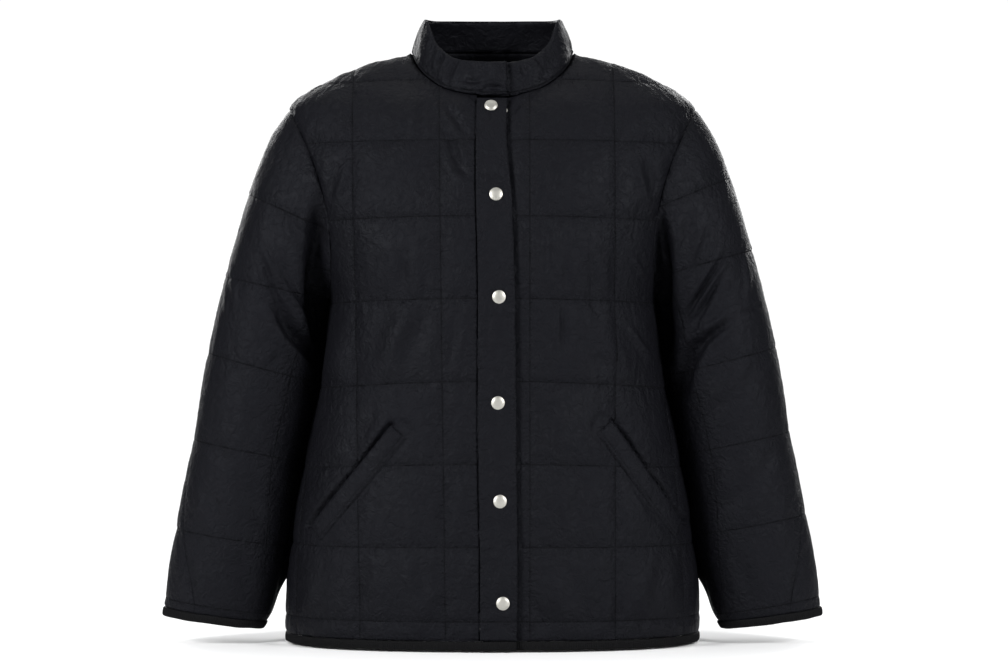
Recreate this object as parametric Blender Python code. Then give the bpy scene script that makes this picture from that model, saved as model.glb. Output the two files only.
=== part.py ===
"""A quilted jacket, filled out and hollow, made of solid walls of cloth.

Sizes are in millimetres, and the meshes are made in metres. X runs across the
jacket to the wearer's left, -Y is its front and Z is up. The origin is at the
middle of the shoulders, level with the points where neck and shoulders meet.
"""

from collections import namedtuple

import bpy
import bmesh
import numpy as np

METRES = 0.001
LEVEL = np.array((1.0, 1.0, 0.0))
UPWARD = np.array((0.0, 0.0, 1.0))

# Cloth, padding and seams
WALL = 3.0
COLLAR_WALL = 4.4
SEAM_GAP = 0.35
COLLAR_GAP = 1.2
COLLAR_TUCK = 1.0
PUFF = 3.6
PUFF_REACH = 30.0
SEAM_REACH = 20.0
QUILT_PITCH = 100.0

# Level sections of the body, from the back of the neck down to the hem
Level = namedtuple("Level", "height half_width front_depth back_depth")
BODY_LEVELS = (
    Level(14, 90, 2, 78),
    Level(4, 94, 4, 86),
    Level(-10, 143, 31, 97),
    Level(-25, 180, 53, 105),
    Level(-42, 212, 74, 112),
    Level(-62, 233, 93, 119),
    Level(-101, 240, 115, 129),
    Level(-140, 232, 129, 137),
    Level(-187, 212, 140, 143),
    Level(-235, 196, 145, 146),
    Level(-274, 186, 146, 146),
    Level(-325, 190.5, 146, 144),
    Level(-372, 196, 147, 143),
    Level(-420, 205, 148, 143),
    Level(-475, 216.5, 150, 145),
    Level(-535, 226, 152, 148),
    Level(-600, 234, 154, 151),
    Level(-640, 236.3, 154, 152),
    Level(-680, 235.5, 154, 152),
)
ROUNDNESS = 2.35
HEM = -658.6

# Neckline, as distance from the middle and height, on the front and on the back
NeckPoint = namedtuple("NeckPoint", "across height")
NECK_POINT = NeckPoint(94, 4)
FRONT_NECK = (
    NeckPoint(0, -50.6),
    NeckPoint(25, -48.5),
    NeckPoint(53, -41.5),
    NeckPoint(76, -26),
    NeckPoint(88, -11),
    NECK_POINT,
)
BACK_NECK = (
    NeckPoint(0, 13.5),
    NeckPoint(50, 12),
    NeckPoint(80, 8),
    NECK_POINT,
)

# Armhole: an oval between shoulder tip and underarm, hollowed towards the body
ARMHOLE_TIP = (233.0, -62.0)
ARMHOLE_BASE = (186.0, -274.0)
ARMHOLE_DEPTH = {"front": 80.0, "back": 88.0}
ARMHOLE_HOLLOW = {"front": 20.0, "back": 8.0}
ARMHOLE_MARGIN = 0.01
MITRE_BEND = 0.25
MITRE_LEAST = 0.75

# Lines of quilting: height at the middle of the body, and how far the side hangs lower
QuiltLine = namedtuple("QuiltLine", "height side_drop")
BODY_LINES = (
    QuiltLine(-637, 1),
    QuiltLine(-555, 2),
    QuiltLine(-463, 7),
    QuiltLine(-371, 9),
    QuiltLine(-279, 5),
    QuiltLine(-187, 5),
    QuiltLine(-101, 3),
)
SHOULDER_LINE = QuiltLine(-29, 4)
QUILT_STEPS = (0.25, 0.5, 0.75, 1.0)
YOKE_ROWS = 6
FRONT_CELLS = (2, 5, 6)
BACK_CELLS = (4, 4, 4)
TOP_GRAIN_HEIGHT = -40.0
FINE_STEPS = 200
LEAST_SLOPE = 0.3

# Upright lines on each front: place at the top and at the hem, from the middle of the jacket
GrainLine = namedtuple("GrainLine", "at_top at_hem")
FRONT_GRAIN = {
    -1: (GrainLine(60.5, 51.5), GrainLine(159, 147)),
    1: (GrainLine(42, 42), GrainLine(137.5, 137)),
}
BACK_GRAIN = (GrainLine(QUILT_PITCH, QUILT_PITCH), GrainLine(182, 186))

# Front band: its seam and its free edge, from the middle of the jacket, at each height
BandEdge = namedtuple("BandEdge", "height seam free")
BAND_EDGES = (
    BandEdge(-50, -17.5, 16.5),
    BandEdge(-95, -18.5, 16),
    BandEdge(-150, -18.5, 20.5),
    BandEdge(-205, -17, 23.5),
    BandEdge(-280, -15.7, 25.4),
    BandEdge(-390, -16, 26.5),
    BandEdge(-500, -15, 27),
    BandEdge(-566, -13.5, 28.5),
    BandEdge(-680, -13.5, 26.5),
)
BAND_LIFT = 3.0
UNDERLAP_SINK = 4.2
UNDERLAP_EDGE = -10.0
UNDERLAP_EASE = 26.0
UNDERLAP_LEAD = 0.1
BAND_TOP_HEIGHTS = (-88.0, -74.0)
BAND_COLUMNS = (0.0, 0.35, 0.7, 1.0)

# Sleeve rings from the armhole to the cuff, each between an outer and an inner point.
# The tuck is how far the sleeve's back lies in behind the body's side.
Ring = namedtuple(
    "Ring",
    "outer_across outer_up inner_across inner_up front_depth back_depth forward hollow tuck cells",
)
SLEEVE_RINGS = (
    Ring(233, -62, 186, -274, 80, 88, 0, 1.0, 0, 0),
    Ring(253, -92, 190.5, -278, 79, 86, 0, 0.6, 0, 1),
    Ring(273, -140, 192.5, -282.5, 77, 83, 0, 0.2, 3, 2),
    Ring(292, -202, 194, -289, 75, 79, 1, 0.02, 9, 2),
    Ring(307, -256, 195.5, -297, 72, 75, 2, 0, 14, 2),
    Ring(326, -340, 203.5, -373.5, 69, 70, 4, 0, 13.5, 4),
    Ring(342, -439, 221.5, -463, 65, 66, 5, 0, 12.5, 4),
    Ring(361.5, -541, 236, -560.5, 59, 60, 8, 0, 9, 4),
    Ring(374, -620, 253.5, -637, 49, 50, 12, 0, 3, 3),
    Ring(375.5, -630, 258.5, -646.5, 46, 47, 13, 0, 2, 1),
)
SLEEVE_TURN_TOP = 8.0
SLEEVE_TURN_CUFF = 38.0
SLEEVE_LINES = 4
SLEEVE_QUILT_RINGS = (2, 4, 5, 6, 7, 8)
SLEEVE_SETTLED_RING = 4
SLEEVE_INNER_REACH = 60.0
SLEEVE_BACK_FROM = 10.0
SLEEVE_BACK_SHARE = 0.8

# Collar: the rim's place at each angle from the front, and the wall's parting where it overlaps
RimPoint = namedtuple("RimPoint", "angle across back height")
COLLAR_RIM = (
    RimPoint(-20, -27, -72.5, -9.8),
    RimPoint(0, 0, -77, -11.4),
    RimPoint(20, 27, -72.5, -9.6),
    RimPoint(35, 45, -64, -5),
    RimPoint(46, 56, -55, 3),
    RimPoint(56, 65, -45, 13),
    RimPoint(66, 71, -35, 28),
    RimPoint(77, 76, -20, 40),
    RimPoint(90, 78.5, -5, 43.5),
    RimPoint(120, 68, 31, 45),
    RimPoint(150, 39, 57, 47),
    RimPoint(180, 0, 67, 47.5),
)
COLLAR_END_OVER = -10.2
COLLAR_END_UNDER = -7.0
COLLAR_LIFT = 2.8
COLLAR_SINK = 4.0
COLLAR_LAP = 11.0
COLLAR_EASE = 22.0
COLLAR_BELLY = 1.6
COLLAR_ROWS = 3
COLLAR_TURN = 9.0

# Binding of hem and cuffs
BINDING_HEIGHT = 10.4
BINDING_OUT = 1.4
BINDING_IN = 4.4
BINDING_SIDES = 8
HEM_BAND_PLACES = (0.0, 14.0, 30.0, 44.0)
HEM_FIRST_TURN = 14.0
HEM_TURNS = 12
HEM_LAP_START = -34.0
HEM_LAP_EASE = 20.0
HEM_LAP_REACH = 60.0

# Slanted welts of the pockets: middle of the upper and of the lower end, across and up
Welt = namedtuple("Welt", "top_across top_up low_across low_up")
WELTS = {
    -1: Welt(-103.4, -427.8, -197.4, -542.5),
    1: Welt(124.3, -422.5, 209.0, -539.8),
}
WELT_WIDTH = 23.0
WELT_WALL = 2.4
WELT_REST = 0.9
WELT_MARGIN = 10.0
WELT_CLEAR = 14.0
WELT_STEPS = 8

# Snap caps down the band, and the one stud that shows beside the top cap
SNAP_PLACES = (
    (-1.4, -64),
    (4.3, -164),
    (7.6, -277.5),
    (6.5, -395),
    (8.8, -504),
    (12.0, -616.5),
)
SNAP_RADIUS = 7.5
SNAP_RIM = 1.1
SNAP_DOME = 2.9
SNAP_SIDES = 16
STUD_PLACE = (12.6, -65.5)
STUD_RADIUS = 4.6
STUD_HEIGHT = 1.6
STUD_SIDES = 12

# Largest folds of the cloth: ends in the front view, depth (a trough is negative) and half width
Fold = namedtuple("Fold", "start_across start_up end_across end_up depth half_width")
FRONT_FOLDS = (
    Fold(-87, -285, -118, -372, 4.0, 15),
    Fold(-70, -285, -108, -362, -3.5, 12),
    Fold(-165, -324, -182, -372, 3.5, 13),
    Fold(118, -300, 150, -372, 3.0, 14),
    Fold(60, -585, 88, -650, 3.0, 14),
    Fold(-60, -590, -84, -650, 2.5, 13),
)
BACK_FOLDS = (
    Fold(-90, -300, -130, -390, 4.0, 16),
    Fold(90, -290, 134, -385, 4.0, 16),
    Fold(-30, -590, -38, -655, 3.0, 15),
    Fold(70, -585, 80, -655, 3.0, 15),
)
SLEEVE_FOLDS = {
    -1: (
        Fold(-268, -222, -197, -347, -7.0, 13),
        Fold(-290, -240, -215, -352, 4.0, 12),
        Fold(-245, -262, -199, -300, 3.5, 11),
        Fold(-300, -470, -250, -520, -3.5, 12),
    ),
    1: (
        Fold(266, -200, 222, -298, -5.0, 12),
        Fold(264, -230, 231, -310, -5.0, 11),
        Fold(268, -312, 228, -356, -7.0, 13),
        Fold(300, -480, 250, -525, -3.5, 12),
    ),
}


def smooth_through(knots, values, places):
    """Reads a smooth curve through (knots, values) that never overshoots a value."""
    knots = np.asarray(knots, float)
    values = np.asarray(values, float)
    steps = np.diff(knots)
    slopes = np.diff(values) / steps
    product = slopes[:-1] * slopes[1:]
    total = np.where(product > 0, slopes[:-1] + slopes[1:], 1.0)
    middle = np.where(product > 0, 2 * product / total, 0.0)
    tangents = np.concatenate((slopes[:1], middle, slopes[-1:]))
    places = np.clip(places, knots[0], knots[-1])
    cell = np.clip(np.searchsorted(knots, places, side="right") - 1, 0, len(steps) - 1)
    step = steps[cell]
    part = (places - knots[cell]) / step
    squared = part * part
    cubed = squared * part
    start = values[cell] * (2 * cubed - 3 * squared + 1)
    end = values[cell + 1] * (3 * squared - 2 * cubed)
    leave = tangents[cell] * step * (cubed - 2 * squared + part)
    reach = tangents[cell + 1] * step * (cubed - squared)
    return start + end + leave + reach


def column_of(rows, name):
    """The values of one named column of a table."""
    return np.array([getattr(row, name) for row in rows], float)


def ease(value):
    """Goes smoothly from 0 to 1 as the value does."""
    part = np.clip(value, 0.0, 1.0)
    return part * part * (3 - 2 * part)


def unit(vectors):
    """The same directions at length 1."""
    return vectors / np.maximum(np.linalg.norm(vectors, axis=-1, keepdims=True), 1e-9)


def level_value(name, height):
    """One size of the body's level section at each height."""
    rows = BODY_LEVELS[::-1]
    return smooth_through(column_of(rows, "height"), column_of(rows, name), height)


def body_depth(height, side):
    """Depth of the front or the back half of the level section."""
    return level_value(side + "_depth", height)


def armhole_at_height(height, side):
    """Where the armhole's front or back edge lies at each height: across, and depth."""
    middle_across = (ARMHOLE_TIP[0] + ARMHOLE_BASE[0]) / 2
    half_across = (ARMHOLE_TIP[0] - ARMHOLE_BASE[0]) / 2
    middle_up = (ARMHOLE_TIP[1] + ARMHOLE_BASE[1]) / 2
    half_up = (ARMHOLE_TIP[1] - ARMHOLE_BASE[1]) / 2
    cosine = np.clip((height - middle_up) / half_up, -1, 1)
    sine_squared = 1 - cosine**2
    across = middle_across + half_across * cosine - ARMHOLE_HOLLOW[side] * sine_squared
    return across, ARMHOLE_DEPTH[side] * np.sqrt(sine_squared)


def half_width(height, side):
    """Half width of the level section, fitted so that beside the arm it runs through the armhole."""
    plain = level_value("half_width", height)
    across, along = armhole_at_height(height, side)
    share = np.clip(along / body_depth(height, side), 0, 0.98)
    fitted = across / (1 - share**ROUNDNESS) ** (1 / ROUNDNESS)
    beside_arm = (height < ARMHOLE_TIP[1]) & (height > ARMHOLE_BASE[1])
    return np.where(beside_arm, fitted, plain)


def body_surface(across, height, side):
    """Point of the body at a distance from the middle and a height, by its oval level section."""
    share = np.clip(np.abs(across) / half_width(height, side), 0, 1)
    depth = body_depth(height, side) * (1 - share**ROUNDNESS) ** (1 / ROUNDNESS)
    along = -depth if side == "front" else depth
    return np.stack(np.broadcast_arrays(across, along, height), axis=-1).astype(float)


def body_normal(points, side):
    """Outward direction of the body's surface, the slope of its oval's equation."""
    across = points[..., 0]
    depth = np.abs(points[..., 1])
    height = points[..., 2]

    def oval(at_height):
        wide = (np.abs(across) / half_width(at_height, side)) ** ROUNDNESS
        deep = (depth / body_depth(at_height, side)) ** ROUNDNESS
        return wide + deep

    wide = half_width(height, side)
    deep = body_depth(height, side)
    power = ROUNDNESS - 1
    slope_across = ROUNDNESS * (np.abs(across) / wide) ** power / wide * np.sign(across)
    slope_along = ROUNDNESS * (depth / deep) ** power / deep
    slope_up = (oval(height + 0.5) - oval(height - 0.5)) / 1.0
    facing = -1.0 if side == "front" else 1.0
    return unit(np.stack((slope_across, facing * slope_along, slope_up), axis=-1))


def sleeve_values(name, station):
    """One column of the sleeve's rings at each station, counted in rings from the armhole."""
    return smooth_through(np.arange(len(SLEEVE_RINGS)), column_of(SLEEVE_RINGS, name), station)


def sleeve_surface(turn, station):
    """Point of the sleeve: an oval ring, turned from its outer edge (0) over its front to its inside (pi)."""
    outer_across = sleeve_values("outer_across", station)
    outer_up = sleeve_values("outer_up", station)
    inner_across = sleeve_values("inner_across", station)
    inner_up = sleeve_values("inner_up", station)
    cosine = np.cos(turn)
    sine = np.sin(turn)
    at_front = sine > 0
    depth = np.where(at_front, sleeve_values("front_depth", station), sleeve_values("back_depth", station))
    hollow = np.where(at_front, ARMHOLE_HOLLOW["front"], ARMHOLE_HOLLOW["back"])
    hollow = hollow * sleeve_values("hollow", station) * sine**2
    tuck = sleeve_values("tuck", station) * np.maximum(-sine, 0) * np.maximum(-cosine, 0) * 2
    middle_across = (outer_across + inner_across) / 2 - hollow - tuck
    across = middle_across + (outer_across - inner_across) / 2 * cosine
    height = (outer_up + inner_up) / 2 + (outer_up - inner_up) / 2 * cosine
    along = -depth * sine - sleeve_values("forward", station)
    return np.stack((across, along, height), axis=-1)


def sleeve_normal(turn, station):
    """Outward direction of the sleeve's surface, from its slopes round and along."""
    small = 1e-3
    last = len(SLEEVE_RINGS) - 1
    low = np.clip(station - small, 0, last)
    high = np.clip(station + small, 0, last)
    round_way = sleeve_surface(turn + small, station) - sleeve_surface(turn - small, station)
    down_way = sleeve_surface(turn, high) - sleeve_surface(turn, low)
    return unit(np.cross(round_way, down_way))


def mitred(own, other, weight):
    """Blends a wall's end from its own normal to the mitre with its neighbour, at even thickness."""
    direction = unit(own + weight * other)
    along = np.maximum(np.sum(direction * own, axis=-1, keepdims=True), MITRE_LEAST)
    return direction / along


def arm_turn(points):
    """Turn about the armhole's middle of points on its edge, from their height and side."""
    middle_up = (ARMHOLE_TIP[1] + ARMHOLE_BASE[1]) / 2
    half_up = (ARMHOLE_TIP[1] - ARMHOLE_BASE[1]) / 2
    turn = np.arccos(np.clip((points[..., 2] - middle_up) / half_up, -1, 1))
    return np.where(points[..., 1] <= 0, turn, 2 * np.pi - turn)


def body_side_of(points):
    """Body normals on the armhole's edge, front and back halves each by their own oval."""
    front = body_normal(points, "front")
    back = body_normal(points, "back")
    return np.where(points[..., 1:2] <= 0, front, back)


def armhole_frames(turn):
    """Body normal, sleeve normal and weight of the mitre at each turn of the armhole."""
    start = np.zeros(turn.shape)
    points = sleeve_surface(turn, start)
    body = body_side_of(points)
    sleeve = sleeve_normal(turn, start)
    into_sleeve = unit(sleeve_surface(turn, start + 0.05) - points)
    bend = -np.sum(body * into_sleeve, axis=-1, keepdims=True)
    return body, sleeve, ease(bend / MITRE_BEND)


def grain_across(line, height):
    """Distance from the middle of an upright line at each height."""
    share = np.clip(height / HEM, 0, 1)
    return line.at_top + (line.at_hem - line.at_top) * share


def row_heights():
    """Heights at the middle of the level rows, hem to yoke, with four cells to a quilted square."""
    heights = [HEM]
    drops = [0.0]
    heights.append(BODY_LINES[0].height)
    drops.append(BODY_LINES[0].side_drop)
    for low, high in zip(BODY_LINES[:-1], BODY_LINES[1:]):
        for step in QUILT_STEPS:
            height = low.height + (high.height - low.height) * step
            drop = low.side_drop + (high.side_drop - low.side_drop) * step
            underarm = ARMHOLE_BASE[1] + drop
            if heights[-1] < underarm < height:
                heights.append(underarm)
                drops.append(drop)
            heights.append(height)
            drops.append(drop)
    return np.array(heights), np.array(drops)


def low_row(height, drop, side, inner_edge):
    """Many points along one level row, from the inner edge to the side seam or the armhole."""
    reach = half_width(height, side)
    end_across = reach
    end_height = height - drop
    for _ in range(4):
        if ARMHOLE_BASE[1] < end_height < ARMHOLE_TIP[1]:
            end_across = float(armhole_at_height(end_height, side)[0])
        else:
            end_across = float(half_width(end_height, side))
        end_height = height - drop * (end_across / reach) ** 2
    edge = np.clip(inner_edge / reach, -1, 1)
    start_turn = np.arcsin(np.sign(edge) * np.abs(edge) ** (ROUNDNESS / 2))
    end_turn = np.arcsin(np.clip(end_across / reach, 0, 1) ** (ROUNDNESS / 2))
    turns = np.linspace(start_turn, end_turn, FINE_STEPS)
    share = np.sign(np.sin(turns)) * np.abs(np.sin(turns)) ** (2 / ROUNDNESS)
    across = share * reach
    across = inner_edge + (across - across[0]) * (end_across - inner_edge) / (across[-1] - across[0])
    heights = height - drop * (across / reach) ** 2
    return body_surface(across, heights, side)


def lengths_along(points, axis):
    """Distance along the grid's rows (axis 1) or columns (axis 0) from its first point."""
    steps = np.linalg.norm(np.diff(points, axis=axis), axis=-1)
    total = np.cumsum(steps, axis=axis)
    pad = [(0, 0), (0, 0)]
    pad[axis] = (1, 0)
    return np.pad(total, pad)


def points_at(curve, distances):
    """Points of a finely drawn curve at the given distances along it."""
    steps = np.linalg.norm(np.diff(curve, axis=0), axis=1)
    along = np.concatenate(([0.0], np.cumsum(steps)))
    columns = [np.interp(distances, along, curve[:, axis]) for axis in range(3)]
    return np.stack(columns, axis=-1)


def spaced(knots, cells):
    """Places between knots, each stretch cut into its number of cells."""
    places = [knots[0]]
    for start, end, count in zip(knots[:-1], knots[1:], cells):
        places.extend(start + (end - start) * (step + 1) / count for step in range(count))
    return np.array(places)


def row_places(curve, lines, cells):
    """Distances along a row of its columns: at the upright lines and evenly between them."""
    steps = np.linalg.norm(np.diff(curve, axis=0), axis=1)
    along = np.concatenate(([0.0], np.cumsum(steps)))
    knots = [0.0]
    for line in lines:
        place = float(np.interp(line, curve[:, 0], along))
        knots.append(min(place, along[-1] * 0.9))
    knots.append(along[-1])
    return spaced(knots, cells), knots[-2]


def neck_height(across, side):
    """Height of the neckline at a distance from the middle."""
    rows = FRONT_NECK if side == "front" else BACK_NECK
    return smooth_through(column_of(rows, "across"), column_of(rows, "height"), np.abs(across))


def top_edge(side, inner_edge, lines, cells):
    """Points of the neckline and the shoulder seam, spaced as the columns are, one of them on the corner."""
    neck_across = np.linspace(inner_edge, NECK_POINT.across, FINE_STEPS)
    neck = body_surface(neck_across, neck_height(neck_across, side), side)
    seam_height = np.linspace(NECK_POINT.height, ARMHOLE_TIP[1], FINE_STEPS)[1:]
    seam_across = level_value("half_width", seam_height)
    seam = np.stack((seam_across, np.zeros(seam_across.shape), seam_height), axis=-1)
    curve = np.concatenate((neck, seam))
    steps = np.linalg.norm(np.diff(curve, axis=0), axis=1)
    along = np.concatenate(([0.0], np.cumsum(steps)))
    corner = along[len(neck) - 1]
    first, second = [float(np.interp(line, curve[:, 0], along)) for line in lines]
    if side == "back":
        return points_at(curve, spaced([0.0, corner, second, along[-1]], cells))
    on_neck = round(cells[1] * (corner - first) / (second - first))
    split = (cells[0], on_neck, cells[1] - on_neck, cells[2])
    return points_at(curve, spaced([0.0, first, corner, second, along[-1]], split))


def high_grid(bottom, top, side, rows):
    """Fills the panel between its yoke row and its top edge, and spaces the rows by length."""
    steps = np.linspace(0, 1, FINE_STEPS)[:, None]
    share = np.linspace(0, 1, len(bottom))[None, :]
    edge_height = bottom[-1, 2] + (top[-1, 2] - bottom[-1, 2]) * steps[:, 0]
    edge_across = armhole_at_height(edge_height, side)[0]
    edge_across[-1] = top[-1, 0]
    blended = (1 - steps) * bottom[None, :, 0] + steps * top[None, :, 0]
    miss = edge_across[:, None] - blended[:, -1:]
    across = blended + miss * share**3
    height = (1 - steps) * bottom[None, :, 2] + steps * top[None, :, 2]
    dense = body_surface(across, height, side)
    columns = []
    for column in range(dense.shape[1]):
        curve = dense[:, column]
        length = np.sum(np.linalg.norm(np.diff(curve, axis=0), axis=1))
        columns.append(points_at(curve, np.linspace(0, length, rows + 1)))
    grid = np.stack(columns, axis=1)
    grid[-1] = top
    return grid[1:]


def body_grid(side, inner_edge_at, lines, cells):
    """Grid of a panel from hem to neck and shoulder, and where its outer upright line crosses each row."""
    heights, drops = row_heights()
    rows = []
    line_place = []
    for height, drop in zip(heights, drops):
        curve = low_row(height, drop, side, inner_edge_at(height))
        places, last = row_places(curve, [grain_across(line, height) for line in lines], cells)
        rows.append(points_at(curve, places))
        line_place.append(last)
    low = np.stack(rows)
    top_lines = [grain_across(line, TOP_GRAIN_HEIGHT) for line in lines]
    top = top_edge(side, inner_edge_at(NECK_POINT.height), top_lines, cells)
    high = high_grid(low[-1], top, side, YOKE_ROWS)
    grid = np.concatenate((low, high))
    line_place = np.array(line_place + [line_place[-1]] * YOKE_ROWS)
    return grid, line_place


def puff_profile(distance, reach):
    """Rises steeply from a stitched line and flattens at its reach: 1 - (1 - d / reach) squared."""
    return 1 - (1 - np.clip(distance / reach, 0, 1)) ** 2


def nearest(distance_list):
    """The smallest of several distances."""
    return np.minimum.reduce(distance_list)


def body_relief(grid, normals, line_place, lines, side):
    """Height of the padding over a panel's grid, nothing at stitched lines and seams."""
    share = (grid[..., 0] / half_width(grid[..., 2], side)) ** 2
    steep = np.maximum(np.sqrt(1 - normals[..., 2] ** 2), LEAST_SLOPE)
    level = []
    for line in (*BODY_LINES, SHOULDER_LINE):
        level.append(np.abs(grid[..., 2] + line.side_drop * share - line.height) / steep)
    along = lengths_along(grid, 1)
    level_length = np.hypot(normals[..., 0], normals[..., 1])
    flat = np.maximum(np.abs(normals[..., 1]) / level_length, LEAST_SLOPE)
    upright = []
    for line in lines:
        upright.append(np.abs(grid[..., 0] - grain_across(line, grid[..., 2])) / flat)
    upright.append(np.abs(along - line_place[:, None] - QUILT_PITCH))
    column = lengths_along(grid, 0)
    edges = [along[:, -1:] - along, column[-1:] - column, column]
    if side == "front":
        edges.append(along)
    height = puff_profile(nearest(level), PUFF_REACH) * puff_profile(nearest(upright), PUFF_REACH)
    return PUFF * height * puff_profile(nearest(edges), SEAM_REACH)


def fold_height(points, folds):
    """Sum of the folds: each a soft ridge or trough along its line in the front view."""
    total = np.zeros(points.shape[:-1])
    for fold in folds:
        start = np.array((fold.start_across, fold.start_up), float)
        way = np.array((fold.end_across, fold.end_up), float) - start
        length = np.hypot(*way)
        way = way / length
        offset = points[..., (0, 2)] - start
        along = (offset @ way) / length
        across = offset @ np.array((-way[1], way[0]))
        taper = np.clip(4 * along * (1 - along), 0, 1) ** 0.5
        total += fold.depth * taper * np.exp(-((across / fold.half_width) ** 2))
    return total


def pulled_from_edges(grid, gap, closed=False):
    """Draws the grid's border back from its seams by half the gap."""
    pulled = grid.copy()
    pulled[0] += unit(grid[1] - grid[0]) * gap / 2
    pulled[-1] += unit(grid[-2] - grid[-1]) * gap / 2
    if not closed:
        pulled[:, 0] += unit(grid[:, 1] - grid[:, 0]) * gap / 2
        pulled[:, -1] += unit(grid[:, -2] - grid[:, -1]) * gap / 2
    return pulled


def plain_material(name, colour, roughness, metallic):
    """One even finish."""
    material = bpy.data.materials.new(name)
    material.use_nodes = True
    shader = material.node_tree.nodes["Principled BSDF"]
    shader.inputs["Base Color"].default_value = (*colour, 1)
    shader.inputs["Roughness"].default_value = roughness
    shader.inputs["Metallic"].default_value = metallic
    material.diffuse_color = (*colour, 1)
    return material


def add_solid(name, vertices, faces, material):
    """Makes one object of a closed solid, with its faces turned outwards."""
    mesh = bpy.data.meshes.new(name)
    mesh.from_pydata((np.asarray(vertices) * METRES).tolist(), [], faces)
    form = bmesh.new()
    form.from_mesh(mesh)
    bmesh.ops.recalc_face_normals(form, faces=form.faces)
    form.to_mesh(mesh)
    form.free()
    mesh.shade_smooth()
    mesh.materials.append(material)
    solid = bpy.data.objects.new(name, mesh)
    bpy.context.scene.collection.objects.link(solid)
    return solid


def grid_faces(index, closed):
    """Four-sided faces of a grid of vertex numbers, closed round its columns or not."""
    if closed:
        index = np.concatenate((index, index[:, :1]), axis=1)
    corners = (index[:-1, :-1], index[:-1, 1:], index[1:, 1:], index[1:, :-1])
    return np.stack([corner.ravel() for corner in corners], axis=1)


def add_wall(name, outer, inner, material, closed=False):
    """Makes a wall of cloth between an outer and an inner grid, joined round their borders."""
    rows, columns, _ = outer.shape
    first = np.arange(rows * columns).reshape(rows, columns)
    second = first + rows * columns
    parts = [grid_faces(first, closed), grid_faces(second, closed)[:, ::-1]]
    for row in (0, -1):
        parts.append(grid_faces(np.stack((first[row], second[row])), closed))
    if not closed:
        for column in (0, -1):
            parts.append(grid_faces(np.stack((first[:, column], second[:, column])), False))
    vertices = np.concatenate((outer.reshape(-1, 3), inner.reshape(-1, 3)))
    return add_solid(name, vertices, np.concatenate(parts).tolist(), material)


def add_strip(name, centres, across_way, up_way, material, closed):
    """Makes a binding: a flattened tube of BINDING_SIDES sides along a line of centres."""
    turns = np.arange(BINDING_SIDES) * 2 * np.pi / BINDING_SIDES + np.pi / BINDING_SIDES
    square = 1 / np.cos(np.pi / BINDING_SIDES)
    thick = (BINDING_OUT + BINDING_IN) / 2 * square * np.cos(turns)[None, :, None]
    tall = (BINDING_HEIGHT - SEAM_GAP) / 2 * square * np.sin(turns)[None, :, None]
    rings = centres[:, None] + across_way[:, None] * thick + up_way[:, None] * tall
    count = len(centres)
    index = np.arange(count * BINDING_SIDES).reshape(count, BINDING_SIDES)
    faces = grid_faces(index, True).tolist()
    if closed:
        faces += grid_faces(np.stack((index[-1], index[0])), True).tolist()
    else:
        faces += [index[0][::-1].tolist(), index[-1].tolist()]
    return add_solid(name, rings.reshape(-1, 3), faces, material)


def mirrored(points, hand):
    """Points of the half that the hand names: 1 is the wearer's left, -1 the right."""
    return points * np.array((hand, 1.0, 1.0))


def band_edge(name, height):
    """Place of the front band's seam or free edge at each height."""
    rows = BAND_EDGES[::-1]
    return smooth_through(column_of(rows, "height"), column_of(rows, name), height)


def welt_clearance(points):
    """0 under a pocket's welt and 1 well beside it, so that the padding lies flat below the welt."""
    clear = np.ones(points.shape[:-1])
    for welt in WELTS.values():
        start = np.array((welt.top_across, welt.top_up))
        way = np.array((welt.low_across, welt.low_up)) - start
        offset = points[..., (0, 2)] - start
        share = np.clip((offset @ way) / (way @ way), 0, 1)
        distance = np.linalg.norm(offset - share[..., None] * way, axis=-1)
        clear = np.minimum(clear, ease((distance - WELT_WIDTH / 2 - WELT_MARGIN) / WELT_CLEAR))
    return clear


def on_armhole(edge):
    """Which points of a panel's outer edge lie on the armhole."""
    below_tip = edge[:, 2] < ARMHOLE_TIP[1] + ARMHOLE_MARGIN
    above_base = edge[:, 2] > ARMHOLE_BASE[1] - ARMHOLE_MARGIN
    return below_tip & above_base


def armhole_ends(grid, normals):
    """Offset directions of a panel, mitred on the rows whose last column lies on the armhole."""
    offsets = normals.copy()
    edge = grid[:, -1]
    _, sleeve, weight = armhole_frames(arm_turn(edge))
    ends = mitred(normals[:, -1], sleeve, weight)
    offsets[:, -1] = np.where(on_armhole(edge)[:, None], ends, offsets[:, -1])
    return offsets


def underlap_shift(points):
    """How far the under layer lies below the plain surface, all the way under the band and less beside it."""
    past_band = points[..., 0] - band_edge("free", points[..., 2])
    return -UNDERLAP_SINK * (1 - ease(past_band / UNDERLAP_EASE + UNDERLAP_LEAD))


def front_grid(hand):
    """Grid of one front, from the opening to the side seam, up to neck and shoulder."""

    def inner_edge(height):
        if hand > 0:
            return UNDERLAP_EDGE
        return -float(band_edge("seam", np.array(height)))

    return body_grid("front", inner_edge, FRONT_GRAIN[hand], FRONT_CELLS)


def back_grid():
    """Grid of half of the back, from its middle to the side seam."""
    return body_grid("back", lambda height: 0.0, BACK_GRAIN, BACK_CELLS)


def armhole_turns_of(front, back):
    """Turns about the armhole of the rows that end on it: down the front's edge, then up the back's."""
    turns = []
    for edge in (front[:, -1], back[:, -1]):
        turns.append(np.sort(arm_turn(edge[on_armhole(edge)])))
    return np.concatenate((turns[0], turns[1][1:-1]))


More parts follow.
